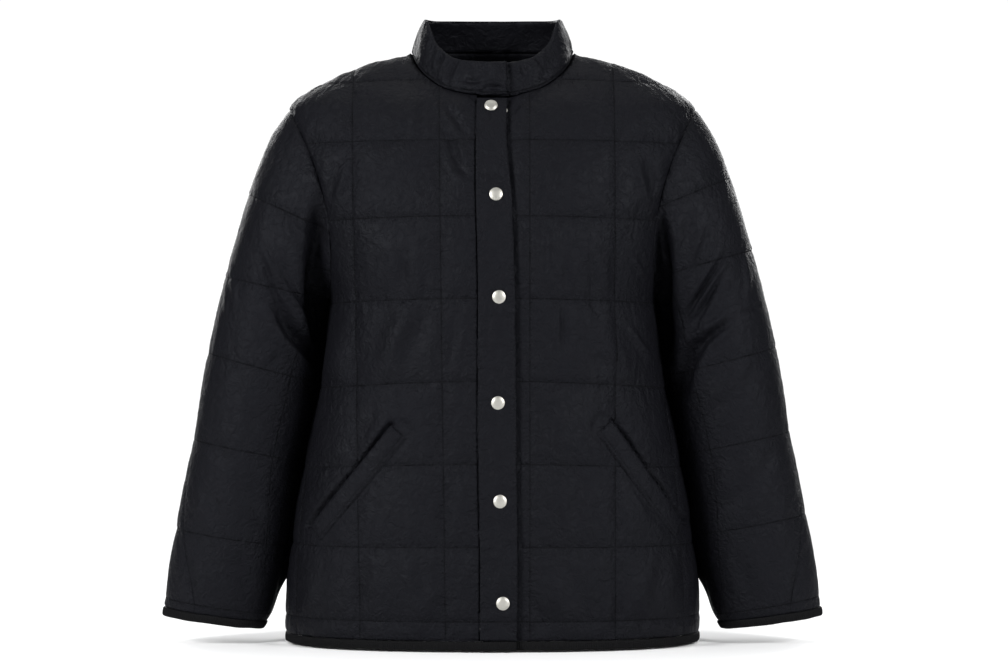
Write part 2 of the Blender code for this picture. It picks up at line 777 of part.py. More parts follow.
def make_front(hand, material):
    """One front, with its padding and folds."""
    lines = FRONT_GRAIN[hand]
    grid, line_place = front_grid(hand)
    normals = body_normal(grid, "front")
    relief = body_relief(grid, normals, line_place, lines, "front")
    offsets = armhole_ends(grid, normals)
    grid = pulled_from_edges(grid, SEAM_GAP)
    world = mirrored(grid, hand)
    relief = relief * welt_clearance(world)
    base = fold_height(world, FRONT_FOLDS) * welt_clearance(world)
    base *= puff_profile(border_distance(grid), PUFF_REACH)
    if hand > 0:
        relief = relief * ease((world[..., 0] - band_edge("free", world[..., 2])) / UNDERLAP_EASE)
        base += underlap_shift(world)
    outer = grid + normals * (base + relief)[..., None]
    inner = grid + normals * base[..., None] - offsets * WALL
    name = "front_right" if hand < 0 else "front_left"
    add_wall(name, mirrored(outer, hand), mirrored(inner, hand), material)


def border_distance(grid):
    """Distance of each grid point from the panel's border."""
    along = lengths_along(grid, 1)
    column = lengths_along(grid, 0)
    return nearest([along, along[:, -1:] - along, column, column[-1:] - column])


def make_back(material):
    """The back in one piece, from one side seam over the middle to the other."""
    grid, line_place = back_grid()
    normals = body_normal(grid, "back")
    middle = GrainLine(0.0, 0.0)
    relief = body_relief(grid, normals, line_place, (middle, *BACK_GRAIN), "back")
    offsets = armhole_ends(grid, normals)
    whole = np.concatenate((mirrored(grid[:, :0:-1], -1), grid), axis=1)
    turned = np.concatenate((mirrored(normals[:, :0:-1], -1), normals), axis=1)
    ends = np.concatenate((mirrored(offsets[:, :0:-1], -1), offsets), axis=1)
    padding = np.concatenate((relief[:, :0:-1], relief), axis=1)
    whole = pulled_from_edges(whole, SEAM_GAP)
    folds = fold_height(whole, BACK_FOLDS) * puff_profile(border_distance(whole), PUFF_REACH)
    outer = whole + turned * (folds + padding)[..., None]
    inner = whole + turned * folds[..., None] - ends * WALL
    add_wall("back", outer, inner, material)


def sleeve_stations():
    """Stations of the sleeve's rows, each stretch between two rings cut into its cells."""
    places = [0.0]
    for number, ring in enumerate(SLEEVE_RINGS[1:]):
        places.extend(number + (step + 1) / ring.cells for step in range(ring.cells))
    return np.array(places)


def sleeve_start_turn(height):
    """Turn of the first upright line, which drifts as the sleeve leans out from the grain."""
    share = np.clip((height - ARMHOLE_TIP[1]) / (SLEEVE_RINGS[-1].outer_up - ARMHOLE_TIP[1]), 0, 1)
    return np.radians(SLEEVE_TURN_TOP + (SLEEVE_TURN_CUFF - SLEEVE_TURN_TOP) * share)


def sleeve_turns(stations, armhole_turns):
    """Turns of the sleeve's columns: at the armhole those of the body's rows, further down evenly spaced."""
    start = sleeve_start_turn(sleeve_values("outer_up", stations))[:, None]
    even = start + np.linspace(0, 2 * np.pi, len(armhole_turns), endpoint=False)
    share = ease(stations / SLEEVE_SETTLED_RING)[:, None]
    return (1 - share) * armhole_turns[None] + share * even


def make_sleeve(hand, armhole_turns, material):
    """One sleeve: a tube through its rings, open at the armhole and at the cuff."""
    stations = sleeve_stations()
    start = sleeve_start_turn(sleeve_values("outer_up", stations))
    turn = sleeve_turns(stations, armhole_turns)
    station = np.broadcast_to(stations[:, None], turn.shape)
    grid = sleeve_surface(turn, station)
    normals = sleeve_normal(turn, station)
    offsets = normals.copy()
    body, sleeve, weight = armhole_frames(turn[0])
    offsets[0] = mitred(sleeve, body, weight)
    down = lengths_along(grid, 0)
    ring_rows = [np.argmin(np.abs(stations - ring)) for ring in SLEEVE_QUILT_RINGS]
    rings = nearest([np.abs(down - down[row]) for row in ring_rows] + [down, down[-1:] - down])
    radius = np.linalg.norm(grid - grid.mean(axis=1, keepdims=True), axis=-1)
    per_line = 2 * np.pi / SLEEVE_LINES
    from_line = (turn - start[:, None] + per_line / 2) % per_line - per_line / 2
    upright = np.abs(from_line) * radius
    underarm = np.abs((turn % (2 * np.pi)) - np.pi) * radius
    relief = PUFF * puff_profile(rings, PUFF_REACH) * puff_profile(upright, PUFF_REACH)
    relief *= puff_profile(underarm, SLEEVE_INNER_REACH)
    facing = np.where(grid[..., 1] < SLEEVE_BACK_FROM, 1.0, SLEEVE_BACK_SHARE)
    folds = fold_height(mirrored(grid, hand), SLEEVE_FOLDS[hand]) * facing
    folds *= puff_profile(underarm, SLEEVE_INNER_REACH)
    folds *= puff_profile(nearest([down, down[-1:] - down]), PUFF_REACH)
    gapped = grid.copy()
    gapped[0] += unit(grid[1] - grid[0]) * SEAM_GAP / 2
    outer = gapped + normals * (folds + relief)[..., None]
    inner = gapped + normals * folds[..., None] - offsets * WALL
    name = "sleeve_right" if hand < 0 else "sleeve_left"
    add_wall(name, mirrored(outer, hand), mirrored(inner, hand), material, closed=True)


def make_cuff_binding(hand, armhole_turns, material):
    """The bound edge that closes off a sleeve's end."""
    last = float(len(SLEEVE_RINGS) - 1)
    turn = sleeve_turns(np.array([last]), armhole_turns)[0]
    end = np.full(turn.shape, last)
    edge = sleeve_surface(turn, end)
    normals = sleeve_normal(turn, end)
    onward = unit(edge - sleeve_surface(turn, end - 0.5))
    centres = edge + onward * (BINDING_HEIGHT + SEAM_GAP) / 2
    centres += normals * (BINDING_OUT - BINDING_IN) / 2
    name = "cuff_binding_right" if hand < 0 else "cuff_binding_left"
    add_strip(name, mirrored(centres, hand), mirrored(normals, hand), mirrored(-onward, hand), material, True)


def collar_shift(angle, hand):
    """Parts the two ends of the collar where one laps over the other at the front."""
    near = 1 - ease((angle - COLLAR_LAP) / COLLAR_EASE)
    return np.where(hand < 0, COLLAR_LIFT * near, -COLLAR_SINK * near)


def neck_base(angle, hand):
    """Point of the neckline at an angle from the front (0) round to the back (180), on one half."""
    across = NECK_POINT.across * np.sin(np.radians(angle))
    front = body_surface(across, neck_height(across, "front"), "front")
    back = body_surface(across, neck_height(across, "back"), "back")
    return mirrored(np.where((angle <= 90)[..., None], front, back), hand)


def collar_path():
    """Angles and halves along the collar, from its upper end round the neck to its lower end."""
    even = np.arange(20, 175, COLLAR_TURN)
    over = np.concatenate(([COLLAR_END_OVER, -5, 0, 6, 13], even))
    under = np.concatenate((even[::-1], [13, 6, 0, COLLAR_END_UNDER]))
    angle = np.concatenate((over, [180.0], under))
    hand = np.concatenate((-np.ones(len(over) + 1), np.ones(len(under))))
    return angle, hand


def make_collar(material):
    """The stand collar: a padded wall from the neckline to its rim, its ends lapped at the front."""
    angle, hand = collar_path()
    signed = np.stack((hand, np.ones(len(hand)), np.ones(len(hand))), axis=-1)
    base = neck_base(angle, 1) * signed
    turns = column_of(COLLAR_RIM, "angle")
    columns = [column_of(COLLAR_RIM, name) for name in ("across", "back", "height")]
    rim = np.stack([smooth_through(turns, column, angle) for column in columns], axis=-1) * signed
    base = base + unit(rim - base) * COLLAR_GAP - unit(base * LEVEL) * COLLAR_TUCK
    steps = np.linspace(0, 1, COLLAR_ROWS + 1)[:, None, None]
    grid = base[None] * (1 - steps) + rim[None] * steps
    round_way = np.gradient(grid, axis=1)
    normals = unit(np.cross(round_way, np.broadcast_to(rim - base, grid.shape)))
    shift = collar_shift(angle, hand)[None, :]
    belly = COLLAR_BELLY * np.sin(np.pi * steps[..., 0]) * np.ones_like(shift)
    outward = np.sign(np.sum(normals * (grid - grid.mean(axis=(0, 1))), axis=-1, keepdims=True))
    normals = normals * outward
    outer = grid + normals * (shift + belly)[..., None]
    inner = grid + normals * (shift - COLLAR_WALL)[..., None]
    add_wall("collar", outer, inner, material)


def hem_path():
    """Points and normals of the hem, from the band's free edge round the body to the lower layer's edge."""
    height = HEM - SEAM_GAP / 2 - BINDING_HEIGHT / 2
    reach = float(half_width(np.array(height), "front"))
    turned = np.sin(np.linspace(np.radians(HEM_FIRST_TURN), np.pi / 2, HEM_TURNS)) ** (2 / ROUNDNESS)
    across = np.concatenate((HEM_BAND_PLACES, turned * reach))
    front, back = [body_surface(across, np.full(len(across), height), side) for side in ("front", "back")]
    over_end = float(band_edge("free", np.array(height)))
    over = body_surface(np.array([-over_end, -over_end / 2]), np.full(2, height), "front")
    under = body_surface(np.array([UNDERLAP_EDGE]), np.full(1, height), "front")
    right = np.concatenate((over, front, back[-2::-1]))
    left = np.concatenate((under, front, back[-2:0:-1]))
    path = np.concatenate((mirrored(right, -1), left[::-1]))
    hand = np.concatenate((-np.ones(len(right)), np.ones(len(left))))
    return path, hand


def make_hem_binding(material):
    """The bound edge all round the hem, in one strip whose ends lap below the front band."""
    path, hand = hem_path()
    turned = np.where(path[:, 1:2] <= 0, body_normal(path, "front"), body_normal(path, "back"))
    level = unit(turned * LEVEL)
    near = (path[:, 1] < 0) & (np.abs(path[:, 0]) < HEM_LAP_REACH)
    over = BAND_LIFT * ease((path[:, 0] - HEM_LAP_START) / HEM_LAP_EASE)
    shift = np.where(near, np.where(hand < 0, over, underlap_shift(path)), 0.0)
    centres = path + level * (shift + (BINDING_OUT - BINDING_IN) / 2)[:, None]
    add_strip("hem_binding", centres, level, np.broadcast_to(UPWARD, centres.shape), material, False)


def make_band(material):
    """The front band: a strip on the wearer's right front that laps over the left one."""
    heights, _ = row_heights()
    heights = np.concatenate((heights, BAND_TOP_HEIGHTS, [FRONT_NECK[0].height]))
    seam = band_edge("seam", heights)[:, None] + SEAM_GAP
    free = band_edge("free", heights)[:, None]
    across = seam + (free - seam) * np.array(BAND_COLUMNS)
    height = np.broadcast_to(heights[:, None], across.shape).copy()
    height[-1] = neck_height(across[-1], "front") - BAND_LIFT - SEAM_GAP
    grid = body_surface(across, height, "front")
    normals = body_normal(grid, "front")
    outer = grid + normals * BAND_LIFT
    inner = grid + normals * (BAND_LIFT - WALL)
    add_wall("front_band", outer, inner, material)


def make_welt(hand, material):
    """A slanted pocket welt, lying on its front."""
    welt = WELTS[hand]
    steps = np.linspace(0, 1, WELT_STEPS + 1)
    across = welt.top_across + (welt.low_across - welt.top_across) * steps
    height = welt.top_up + (welt.low_up - welt.top_up) * steps
    middle = body_surface(across, height, "front")
    along = unit(np.gradient(middle, axis=0))
    normals = body_normal(middle, "front")
    side_way = np.cross(normals, along)
    offsets = np.array((-0.5, 0.0, 0.5)) * WELT_WIDTH
    spread = middle[:, None] + side_way[:, None] * offsets[None, :, None]
    grid = body_surface(spread[..., 0], spread[..., 2], "front")
    turned = body_normal(grid, "front")
    name = "pocket_welt_right" if hand < 0 else "pocket_welt_left"
    add_wall(name, grid + turned * (WELT_REST + WELT_WALL), grid + turned * WELT_REST, material)


def turned_profile(name, place, normal, profile, sides, material):
    """Makes a round piece from its profile of radius and height, standing on a point along a normal."""
    normal = unit(np.asarray(normal, float))
    first = unit(np.cross(normal, UPWARD))
    second = np.cross(normal, first)
    turns = np.arange(sides) * 2 * np.pi / sides
    circle = np.cos(turns)[:, None] * first + np.sin(turns)[:, None] * second
    rings = [place + circle * radius + normal * height for radius, height in profile]
    index = np.arange(sides * len(profile)).reshape(len(profile), sides)
    faces = grid_faces(index, True).tolist()
    faces += [index[0][::-1].tolist(), index[-1].tolist()]
    add_solid(name, np.concatenate(rings), faces, material)


def place_on_front(across, height, lift):
    """Point over the front at a place in the front view, and the outward direction there."""
    point = body_surface(np.array(across, float), np.array(height, float), "front")
    normal = body_normal(point, "front")
    return point + normal * lift, normal


def make_snaps(material):
    """Six domed caps on the band, and the stud on the under layer that shows beside the top one."""
    dome = [(SNAP_RADIUS * 0.9, 0.0), (SNAP_RADIUS, SNAP_RIM / 2), (SNAP_RADIUS * 0.97, SNAP_RIM)]
    for share in (0.82, 0.55, 0.22):
        dome.append((SNAP_RADIUS * share, SNAP_RIM + (SNAP_DOME - SNAP_RIM) * np.sqrt(1 - share**2)))
    for number, (across, height) in enumerate(SNAP_PLACES, start=1):
        place, normal = place_on_front(across, height, BAND_LIFT + SEAM_GAP)
        turned_profile(f"snap_cap_{number}", place, normal, dome, SNAP_SIDES, material)
    stud = [(STUD_RADIUS, 0.0), (STUD_RADIUS, STUD_HEIGHT * 0.6), (STUD_RADIUS * 0.6, STUD_HEIGHT)]
    place, normal = place_on_front(*STUD_PLACE, SEAM_GAP - UNDERLAP_SINK)
    turned_profile("snap_stud_1", place, normal, stud, STUD_SIDES, material)


def main():
    """Clears the scene and makes every piece of the jacket."""
    for thing in list(bpy.data.objects):
        bpy.data.objects.remove(thing)
    shell = plain_material("black_nylon", (0.012, 0.012, 0.015), 0.45, 0.0)
    binding = plain_material("black_binding", (0.006, 0.006, 0.007), 0.85, 0.0)
    metal = plain_material("brushed_nickel", (0.6, 0.6, 0.58), 0.35, 1.0)
    make_back(shell)
    for hand in (-1, 1):
        armhole_turns = armhole_turns_of(front_grid(hand)[0], back_grid()[0])
        make_front(hand, shell)
        make_sleeve(hand, armhole_turns, shell)
        make_welt(hand, shell)
        make_cuff_binding(hand, armhole_turns, binding)
    make_band(shell)
    make_collar(shell)
    make_hem_binding(binding)
    make_snaps(metal)


main()
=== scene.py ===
"""The looks of a black quilted jacket: padded cloth, stitches, bindings and snaps.

The jacket is filled out and hollow, as it is worn. Sizes are in millimetres and become
metres when a mesh is made. X runs across to the wearer's left, -Y is the front, Z is up.
"""

import logging
from dataclasses import dataclass, field
from enum import Enum, IntEnum
from typing import Callable, NamedTuple, Sequence

import bmesh
import bpy
import numpy as np
from numpy.typing import NDArray
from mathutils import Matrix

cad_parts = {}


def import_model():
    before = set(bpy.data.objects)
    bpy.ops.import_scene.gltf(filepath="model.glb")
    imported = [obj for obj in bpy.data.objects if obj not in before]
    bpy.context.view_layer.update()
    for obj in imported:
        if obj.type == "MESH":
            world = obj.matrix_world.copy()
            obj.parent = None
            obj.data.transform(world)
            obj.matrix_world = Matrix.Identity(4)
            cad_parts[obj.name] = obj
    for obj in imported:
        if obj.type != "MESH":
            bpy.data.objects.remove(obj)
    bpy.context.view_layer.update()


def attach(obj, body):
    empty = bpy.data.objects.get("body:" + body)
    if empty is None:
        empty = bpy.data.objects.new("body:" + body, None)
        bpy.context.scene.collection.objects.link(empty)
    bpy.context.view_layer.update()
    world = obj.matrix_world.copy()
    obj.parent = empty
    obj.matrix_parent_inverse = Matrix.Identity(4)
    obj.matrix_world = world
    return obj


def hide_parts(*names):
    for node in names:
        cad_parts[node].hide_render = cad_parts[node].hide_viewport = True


Array = NDArray[np.float64]
Point = tuple[float, float]

METRES = 0.001
LOG = logging.getLogger("jacket")


class Half(Enum):
    """The front or the back half of the body."""

    FRONT = "front"
    BACK = "back"


class Hand(IntEnum):
    """The wearer's side, as the sign of its X."""

    RIGHT = -1
    LEFT = 1

    @property
    def word(self) -> str:
        """The side's name, as the nodes are named."""
        return self.name.lower()


# Curves and lengths


def ease(value: Array) -> Array:
    """Goes smoothly from 0 to 1 as the value does: 3 v^2 - 2 v^3."""
    part = np.clip(value, 0.0, 1.0)
    return part * part * (3 - 2 * part)


def unit(vectors: Array) -> Array:
    """The same directions at length 1."""
    return vectors / np.maximum(np.linalg.norm(vectors, axis=-1, keepdims=True), 1e-9)


def smooth_through(knots: Array, values: Array, places: Array) -> Array:
    """Reads a curve through knots that never overshoots a value.

    Each stretch is a cubic whose end slopes are the harmonic mean of its neighbours' slopes.

    Args:
        knots: Rising places of the known values.
        values: The value at each knot.
        places: Where the curve is read.

    Returns:
        The curve's values, shaped as places.
    """
    knots = np.asarray(knots, float)
    values = np.asarray(values, float)
    steps = np.diff(knots)
    slopes = np.diff(values) / steps
    product = slopes[:-1] * slopes[1:]
    total = np.where(product > 0, slopes[:-1] + slopes[1:], 1.0)
    middle = np.where(product > 0, 2 * product / total, 0.0)
    tangents = np.concatenate((slopes[:1], middle, slopes[-1:]))
    places = np.clip(places, knots[0], knots[-1])
    cell = np.clip(np.searchsorted(knots, places, side="right") - 1, 0, len(steps) - 1)
    step = steps[cell]
    part = (places - knots[cell]) / step
    squared = part * part
    cubed = squared * part
    start = values[cell] * (2 * cubed - 3 * squared + 1)
    end = values[cell + 1] * (3 * squared - 2 * cubed)
    leave = tangents[cell] * step * (cubed - 2 * squared + part)
    reach = tangents[cell + 1] * step * (cubed - squared)
    return start + end + leave + reach


def lengths_along(points: Array, axis: int) -> Array:
    """Distance along a grid's rows (axis 1) or columns (axis 0) from its first point."""
    steps = np.linalg.norm(np.diff(points, axis=axis), axis=-1)
    pad = [(0, 0), (0, 0)]
    pad[axis] = (1, 0)
    return np.pad(np.cumsum(steps, axis=axis), pad)


def path_lengths(curve: Array) -> Array:
    """Distance along a curve from its first point."""
    return np.concatenate(([0.0], np.cumsum(np.linalg.norm(np.diff(curve, axis=0), axis=1))))


def read_at(places: Array, knots: Array, values: Array) -> Array:
    """Points or directions that are known at rising knots, read between them."""
    return np.stack([np.interp(places, knots, values[:, axis]) for axis in range(3)], axis=-1)


def points_at(curve: Array, distances: Array) -> Array:
    """Points of a finely drawn curve at the given distances along it."""
    return read_at(distances, path_lengths(curve), curve)


def spaced(knots: Sequence[float], cells: Sequence[int]) -> Array:
    """Places between knots, each stretch cut into its number of cells."""
    parts = [np.linspace(start, end, count + 1)[1:] for start, end, count in zip(knots, knots[1:], cells)]
    return np.concatenate([[knots[0]], *parts])


def uneven_wave(places: Array, wavelength: float, seed: int) -> Array:
    """A smooth curve of uneven waves between -1 and 1.

    Knots lie at random steps about half a wavelength long, at random heights of changing sign.

    Args:
        places: Where the curve is read.
        wavelength: Mean length of a wave.
        seed: Chooses the curve.

    Returns:
        The curve's values, shaped as places.
    """
    rng = np.random.default_rng(seed)
    low = float(places.min())
    count = int(2.4 * ((float(places.max()) - low) / wavelength + 4))
    steps = rng.uniform(0.55, 1.45, count) * wavelength / 2
    heights = rng.uniform(0.2, 1.0, count) * np.where(np.arange(count) % 2, -1, 1)
    return smooth_through(low - wavelength + np.cumsum(steps), heights, places)


def soft_noise(across: Array, along: Array, sizes: Point, seed: int) -> Array:
    """Soft hills between -1 and 1: random heights on a lattice, eased between its points.

    Args:
        across: First coordinate.
        along: Second coordinate.
        sizes: Size of a lattice cell along both.
        seed: Chooses the heights.

    Returns:
        The heights, shaped as across.
    """
    rng = np.random.default_rng(seed)
    first = (across - across.min()) / sizes[0]
    second = (along - along.min()) / sizes[1]
    lattice = rng.uniform(-1, 1, (int(first.max()) + 2, int(second.max()) + 2))
    row = first.astype(int)
    column = second.astype(int)
    down = ease(first - row)
    over = ease(second - column)
    near = lattice[row, column] * (1 - over) + lattice[row, column + 1] * over
    far = lattice[row + 1, column] * (1 - over) + lattice[row + 1, column + 1] * over
    return near * (1 - down) + far * down


# Creases, puckers and quilting


@dataclass(frozen=True)
class Crease:
    """A soft ridge, or a trough if its depth is negative, drawn in the front view.

    Attributes:
        course: Points that it passes, across and up.
        depth: Height at its middle.
        half_width: Distance at which it has fallen to a third.
        steep: Power of the distance: 2 is a soft fold, and 4 has steep sides.
        ripple: Height of small crumples across it.
    """

    course: tuple[Point, ...]
    depth: float
    half_width: float
    steep: float = 2.0
    ripple: float = 0.0

    def height(self, across: Array, up: Array) -> Array:
        """Height of the crease: depth * taper * (exp(-q^steep) - 0.3 exp(-((q - 1.9) / 0.9)^2)).

        q is the distance from the course in half widths, and the taper is a half sine
        from end to end, so the cloth beside a trough swells a little. Crumples add
        ripple * taper * wave(length along it) * exp(-(q / 1.5)^2).

        Args:
            across: Place across of each point.
            up: Height of each point.

        Returns:
            The height to add at each point.
        """
        knots = np.linspace(0, 1, len(self.course))
        steps = np.linspace(0, 1, 4 * len(self.course) - 3)
        xs = smooth_through(knots, np.array([p[0] for p in self.course]), steps)
        zs = smooth_through(knots, np.array([p[1] for p in self.course]), steps)
        best = np.full(across.shape, np.inf)
        share = np.zeros(across.shape)
        for x0, z0, x1, z1, s0, s1 in zip(xs, zs, xs[1:], zs[1:], steps, steps[1:]):
            way = np.array((x1 - x0, z1 - z0))
            part = np.clip(((across - x0) * way[0] + (up - z0) * way[1]) / (way @ way), 0, 1)
            distance = np.hypot(across - x0 - part * way[0], up - z0 - part * way[1])
            nearer = distance < best
            best = np.where(nearer, distance, best)
            share = np.where(nearer, s0 + (s1 - s0) * part, share)
        q = best / self.half_width
        taper = np.sin(np.pi * np.clip(share, 0.02, 0.98)) ** 0.8
        fold = self.depth * (np.exp(-(q**self.steep)) - 0.3 * np.exp(-(((q - 1.9) / 0.9) ** 2)))
        if self.ripple:
            length = float(np.hypot(np.diff(xs), np.diff(zs)).sum())
            wave = uneven_wave(share * length, 6.5, int(abs(xs[0]) + abs(zs[0])))
            fold = fold + self.ripple * wave * np.exp(-((q / 1.5) ** 2))
        return taper * fold


def crease_height(points: Array, creases: Sequence[Crease]) -> Array:
    """Sum of several creases over points, by their place in the front view."""
    total = np.zeros(points.shape[:-1])
    for crease in creases:
        total += crease.height(points[..., 0], points[..., 2])
    return total


class GatherWave(NamedTuple):
    """One size of pucker that a seam draws into the cloth: wavelength, reach from the seam, depth."""

    wavelength: float
    reach: float
    depth: float


GATHERS = (
    GatherWave(7.0, 7.5, 0.72),
    GatherWave(13.0, 14.0, 0.8),
    GatherWave(27.0, 28.0, 0.75),
)


def gathers(along: Array, away: Array, seed: int) -> Array:
    """Puckers on both sides of a stitched line.

    Each wave size adds depth * patch(along) * wave(along + lean * away) * exp(-(|away| / reach)^1.3),
    with its own random curves for patch, lean and reach on each side of the line.

    Args:
        along: Distance along the line.
        away: Signed distance from it.
        seed: Chooses the puckers.

    Returns:
        The height to add at each point.
    """
    total = np.zeros(along.shape)
    for side in (-1, 1):
        for number, wave in enumerate(GATHERS):
            chosen = (away * side >= 0) & (np.abs(away) < 3.2 * wave.reach)
            if not chosen.any():
                continue
            place = along[chosen]
            off = np.abs(away[chosen])
            key = seed * 61 + number * 10 + side
            lean = 0.45 * uneven_wave(place, wave.wavelength * 4, key + 1)
            curve = uneven_wave(place + lean * off, wave.wavelength, key + 3)
            patch = 0.55 + 0.45 * uneven_wave(place, wave.wavelength * 3, key + 5)
            reach = wave.reach * (1 + 0.55 * uneven_wave(place, wave.wavelength * 2.2, key + 7))
            height = wave.depth * patch * curve * np.exp(-((off / reach) ** 1.3))
            total[chosen] += height * ease(off / 2.4 + 0.25)
    return total


class CrumpleSize(NamedTuple):
    """One size of crumple: cell across and along, depth, and how far the cells are warped."""

    across: float
    along: float
    depth: float
    warp: float


CRUMPLES = (
    CrumpleSize(52.0, 76.0, 1.1, 18.0),
    CrumpleSize(23.0, 34.0, 0.85, 9.0),
    CrumpleSize(11.0, 15.0, 0.55, 4.0),
)


def crumple(across: Array, along: Array, seed: int) -> Array:
    """Flat facets that meet in soft creases, as light nylon crumples, in several sizes.

    Each size adds depth * (sqrt(f^2 + 0.02) - mean), f the distance to the nearest of a set of
    scattered points in cells, over coordinates that soft noise has warped.

    Args:
        across: Length across the panel.
        along: Length along it.
        seed: Chooses the pattern.

    Returns:
        The height to add at each point.
    """
    total = np.zeros(across.shape)
    for number, size in enumerate(CRUMPLES):
        key = seed * 7 + number * 100
        sideways = size.warp * soft_noise(across, along, (size.across, size.along), key + 1)
        lengthways = size.warp * soft_noise(across, along, (size.across, size.along), key + 2)
        u = (across + sideways - across.min() + 2 * size.warp) / size.across
        v = (along + lengthways - along.min() + 2 * size.warp) / size.along
        rng = np.random.default_rng(key)
        jitter = rng.uniform(0.0, 1.0, (int(u.max()) + 4, int(v.max()) + 4, 2))
        weight = rng.uniform(0.55, 1.25, jitter.shape[:2])
        row, column = u.astype(int), v.astype(int)
        best = np.full(across.shape, 9.0)
        for down in (-1, 0, 1):
            for over in (-1, 0, 1):
                near_row, near_column = np.maximum(row + down, 0), np.maximum(column + over, 0)
                spot = jitter[near_row, near_column]
                far = np.hypot(u - near_row - spot[..., 0], v - near_column - spot[..., 1])
                best = np.minimum(best, far * weight[near_row, near_column])
        height = np.sqrt(best**2 + 0.02)
        total += size.depth * (height - height.mean())
    return total


class StitchLine(NamedTuple):
    """A sewn line on a grid.

    away is every point's signed distance from it, along is the distance along it,
    and level tells whether it crosses the grid's columns (True) or its rows.
    """

    away: Array
    along: Array
    level: bool


@dataclass(frozen=True)
class Quilting:
    """Thin padding between stitched lines: a quick rise beside the line, then a slow swell."""

    quick: float = 0.45
    quick_reach: float = 4.5
    swell: float = 1.9
    reach: float = 42.0
    groove: float = 0.2
    groove_half_width: float = 1.5
    pull_reach: float = 12.0
    edge_reach: float = 14.0
    edge_flat: float = 4.0
    edge_pull: float = 0.9
    upright_puckers: float = 0.7
    crease_end: float = 20.0

    def rise(self, distance: Array, reach: float) -> Array:
        """Rises steeply from a line and flattens at its reach: 1 - (1 - d / reach)^2."""
        return 1 - (1 - np.clip(np.abs(distance) / reach, 0, 1)) ** 2

    def height(self, lines: Sequence[StitchLine], shape: tuple[int, int]) -> Array:
        """Padding's height: a quick rise beside each line, and a swell between them, less the groove.

        It is quick * (1 - exp(-d / reach)) + swell * rise(level) * rise(upright) - groove.
        """
        swell = np.full(shape, self.swell)
        nearest = self.nearest(lines, shape)
        for level in (True, False):
            away = [np.abs(line.away) for line in lines if line.level is level]
            if away:
                swell *= self.rise(np.minimum.reduce(away), self.reach)
        groove = self.groove * np.exp(-((nearest / self.groove_half_width) ** 2))
        return self.quick * (1 - np.exp(-nearest / self.quick_reach)) + swell - groove

    def nearest(self, lines: Sequence[StitchLine], shape: tuple[int, int]) -> Array:
        """Distance to the nearest line."""
        return np.minimum.reduce([np.full(shape, 1e3), *[np.abs(line.away) for line in lines]])

    def pull(self, lines: Sequence[StitchLine], shape: tuple[int, int]) -> Array:
        """How strongly a line pulls at the cloth: 1 on it, falling as exp(-d / reach)."""
        return np.exp(-self.nearest(lines, shape) / self.pull_reach)


def line_count(lines: Sequence[StitchLine], level: bool, pitch: float, shape: tuple[int, int]) -> Array:
    """Counts up by one from each line to the next, so a line runs wherever the count is whole.

    Between two lines it is k + d / (d - e), with d the signed distance from the lower one
    and e the one from the upper.

    Args:
        lines: All lines of a panel.
        level: Counts the level ones, or the uprights.
        pitch: Distance that counts as one beyond the outermost lines, up to a half.
        shape: Shape of the panel's grid.

    Returns:
        The count at each point, or a half everywhere if there is no such line.
    """
    chosen = [line.away for line in lines if line.level is level]
    if not chosen:
        return np.full(shape, 0.5)
    chosen.sort(key=lambda away: -float(away.mean()))
    total = np.clip(chosen[0] / pitch, -0.5, 0) + np.clip(chosen[-1] / pitch, 0, 0.5)
    for lower, upper in zip(chosen, chosen[1:]):
        total = total + np.clip(lower / np.maximum(lower - upper, 1e-6), 0, 1)
    return total


# The general form that the cloth follows


class Level(NamedTuple):
    """One oval level section of the body."""

    height: float
    half_width: float
    front_depth: float
    back_depth: float


class QuiltLine(NamedTuple):
    """A level line of quilting: height at the middle, and how far its side hangs lower."""

    height: float
    side_drop: float


class GrainLine(NamedTuple):
    """An upright line of quilting: distance from the middle at the top and at the hem."""

    at_top: float
    at_hem: float


class BandEdge(NamedTuple):
    """The front band at one height: its seam and its free edge."""

    height: float
    seam: float
    free: float


BODY_LEVELS = (
    Level(14, 90, 2, 78),
    Level(4, 94, 4, 86),
    Level(-10, 143, 31, 97),
    Level(-25, 180, 53, 105),
    Level(-42, 212, 74, 112),
    Level(-62, 233, 93, 119),
    Level(-101, 240, 115, 129),
    Level(-140, 232, 129, 137),
    Level(-187, 212, 140, 143),
    Level(-235, 196, 145, 146),
    Level(-274, 186, 146, 146),
    Level(-325, 190.5, 146, 144),
    Level(-372, 196, 147, 143),
    Level(-420, 205, 148, 143),
    Level(-475, 216.5, 150, 145),
    Level(-535, 226, 152, 148),
    Level(-600, 234, 154, 151),
    Level(-640, 236.3, 154, 152),
    Level(-680, 235.5, 154, 152),
)
FRONT_NECK = ((0, -50.6), (25, -48.5), (53, -41.5), (76, -26), (88, -11), (94, 4))
BACK_NECK = ((0, 13.5), (50, 12), (80, 8), (94, 4))
BODY_LINES = (
    QuiltLine(-637, 1),
    QuiltLine(-555, 2),
    QuiltLine(-463, 7),
    QuiltLine(-371, 9),
    QuiltLine(-279, 5),
    QuiltLine(-187, 5),
    QuiltLine(-101, 3),
)
SHOULDER_LINE = QuiltLine(-29, 4)
FRONT_GRAIN = {
    Hand.RIGHT: (GrainLine(60.5, 51.5), GrainLine(159, 147)),
    Hand.LEFT: (GrainLine(42, 42), GrainLine(137.5, 137)),
}
BACK_GRAIN = (GrainLine(100, 100), GrainLine(182, 186))
QUILT_PITCH = 100.0
BAND_EDGES = (
    BandEdge(-50, -17.5, 16.5),
    BandEdge(-95, -18.5, 16),
    BandEdge(-150, -18.5, 20.5),
    BandEdge(-205, -17, 23.5),
    BandEdge(-280, -15.7, 25.4),
    BandEdge(-390, -16, 26.5),
    BandEdge(-500, -15, 27),
    BandEdge(-566, -13.5, 28.5),
    BandEdge(-680, -13.5, 26.5),
)


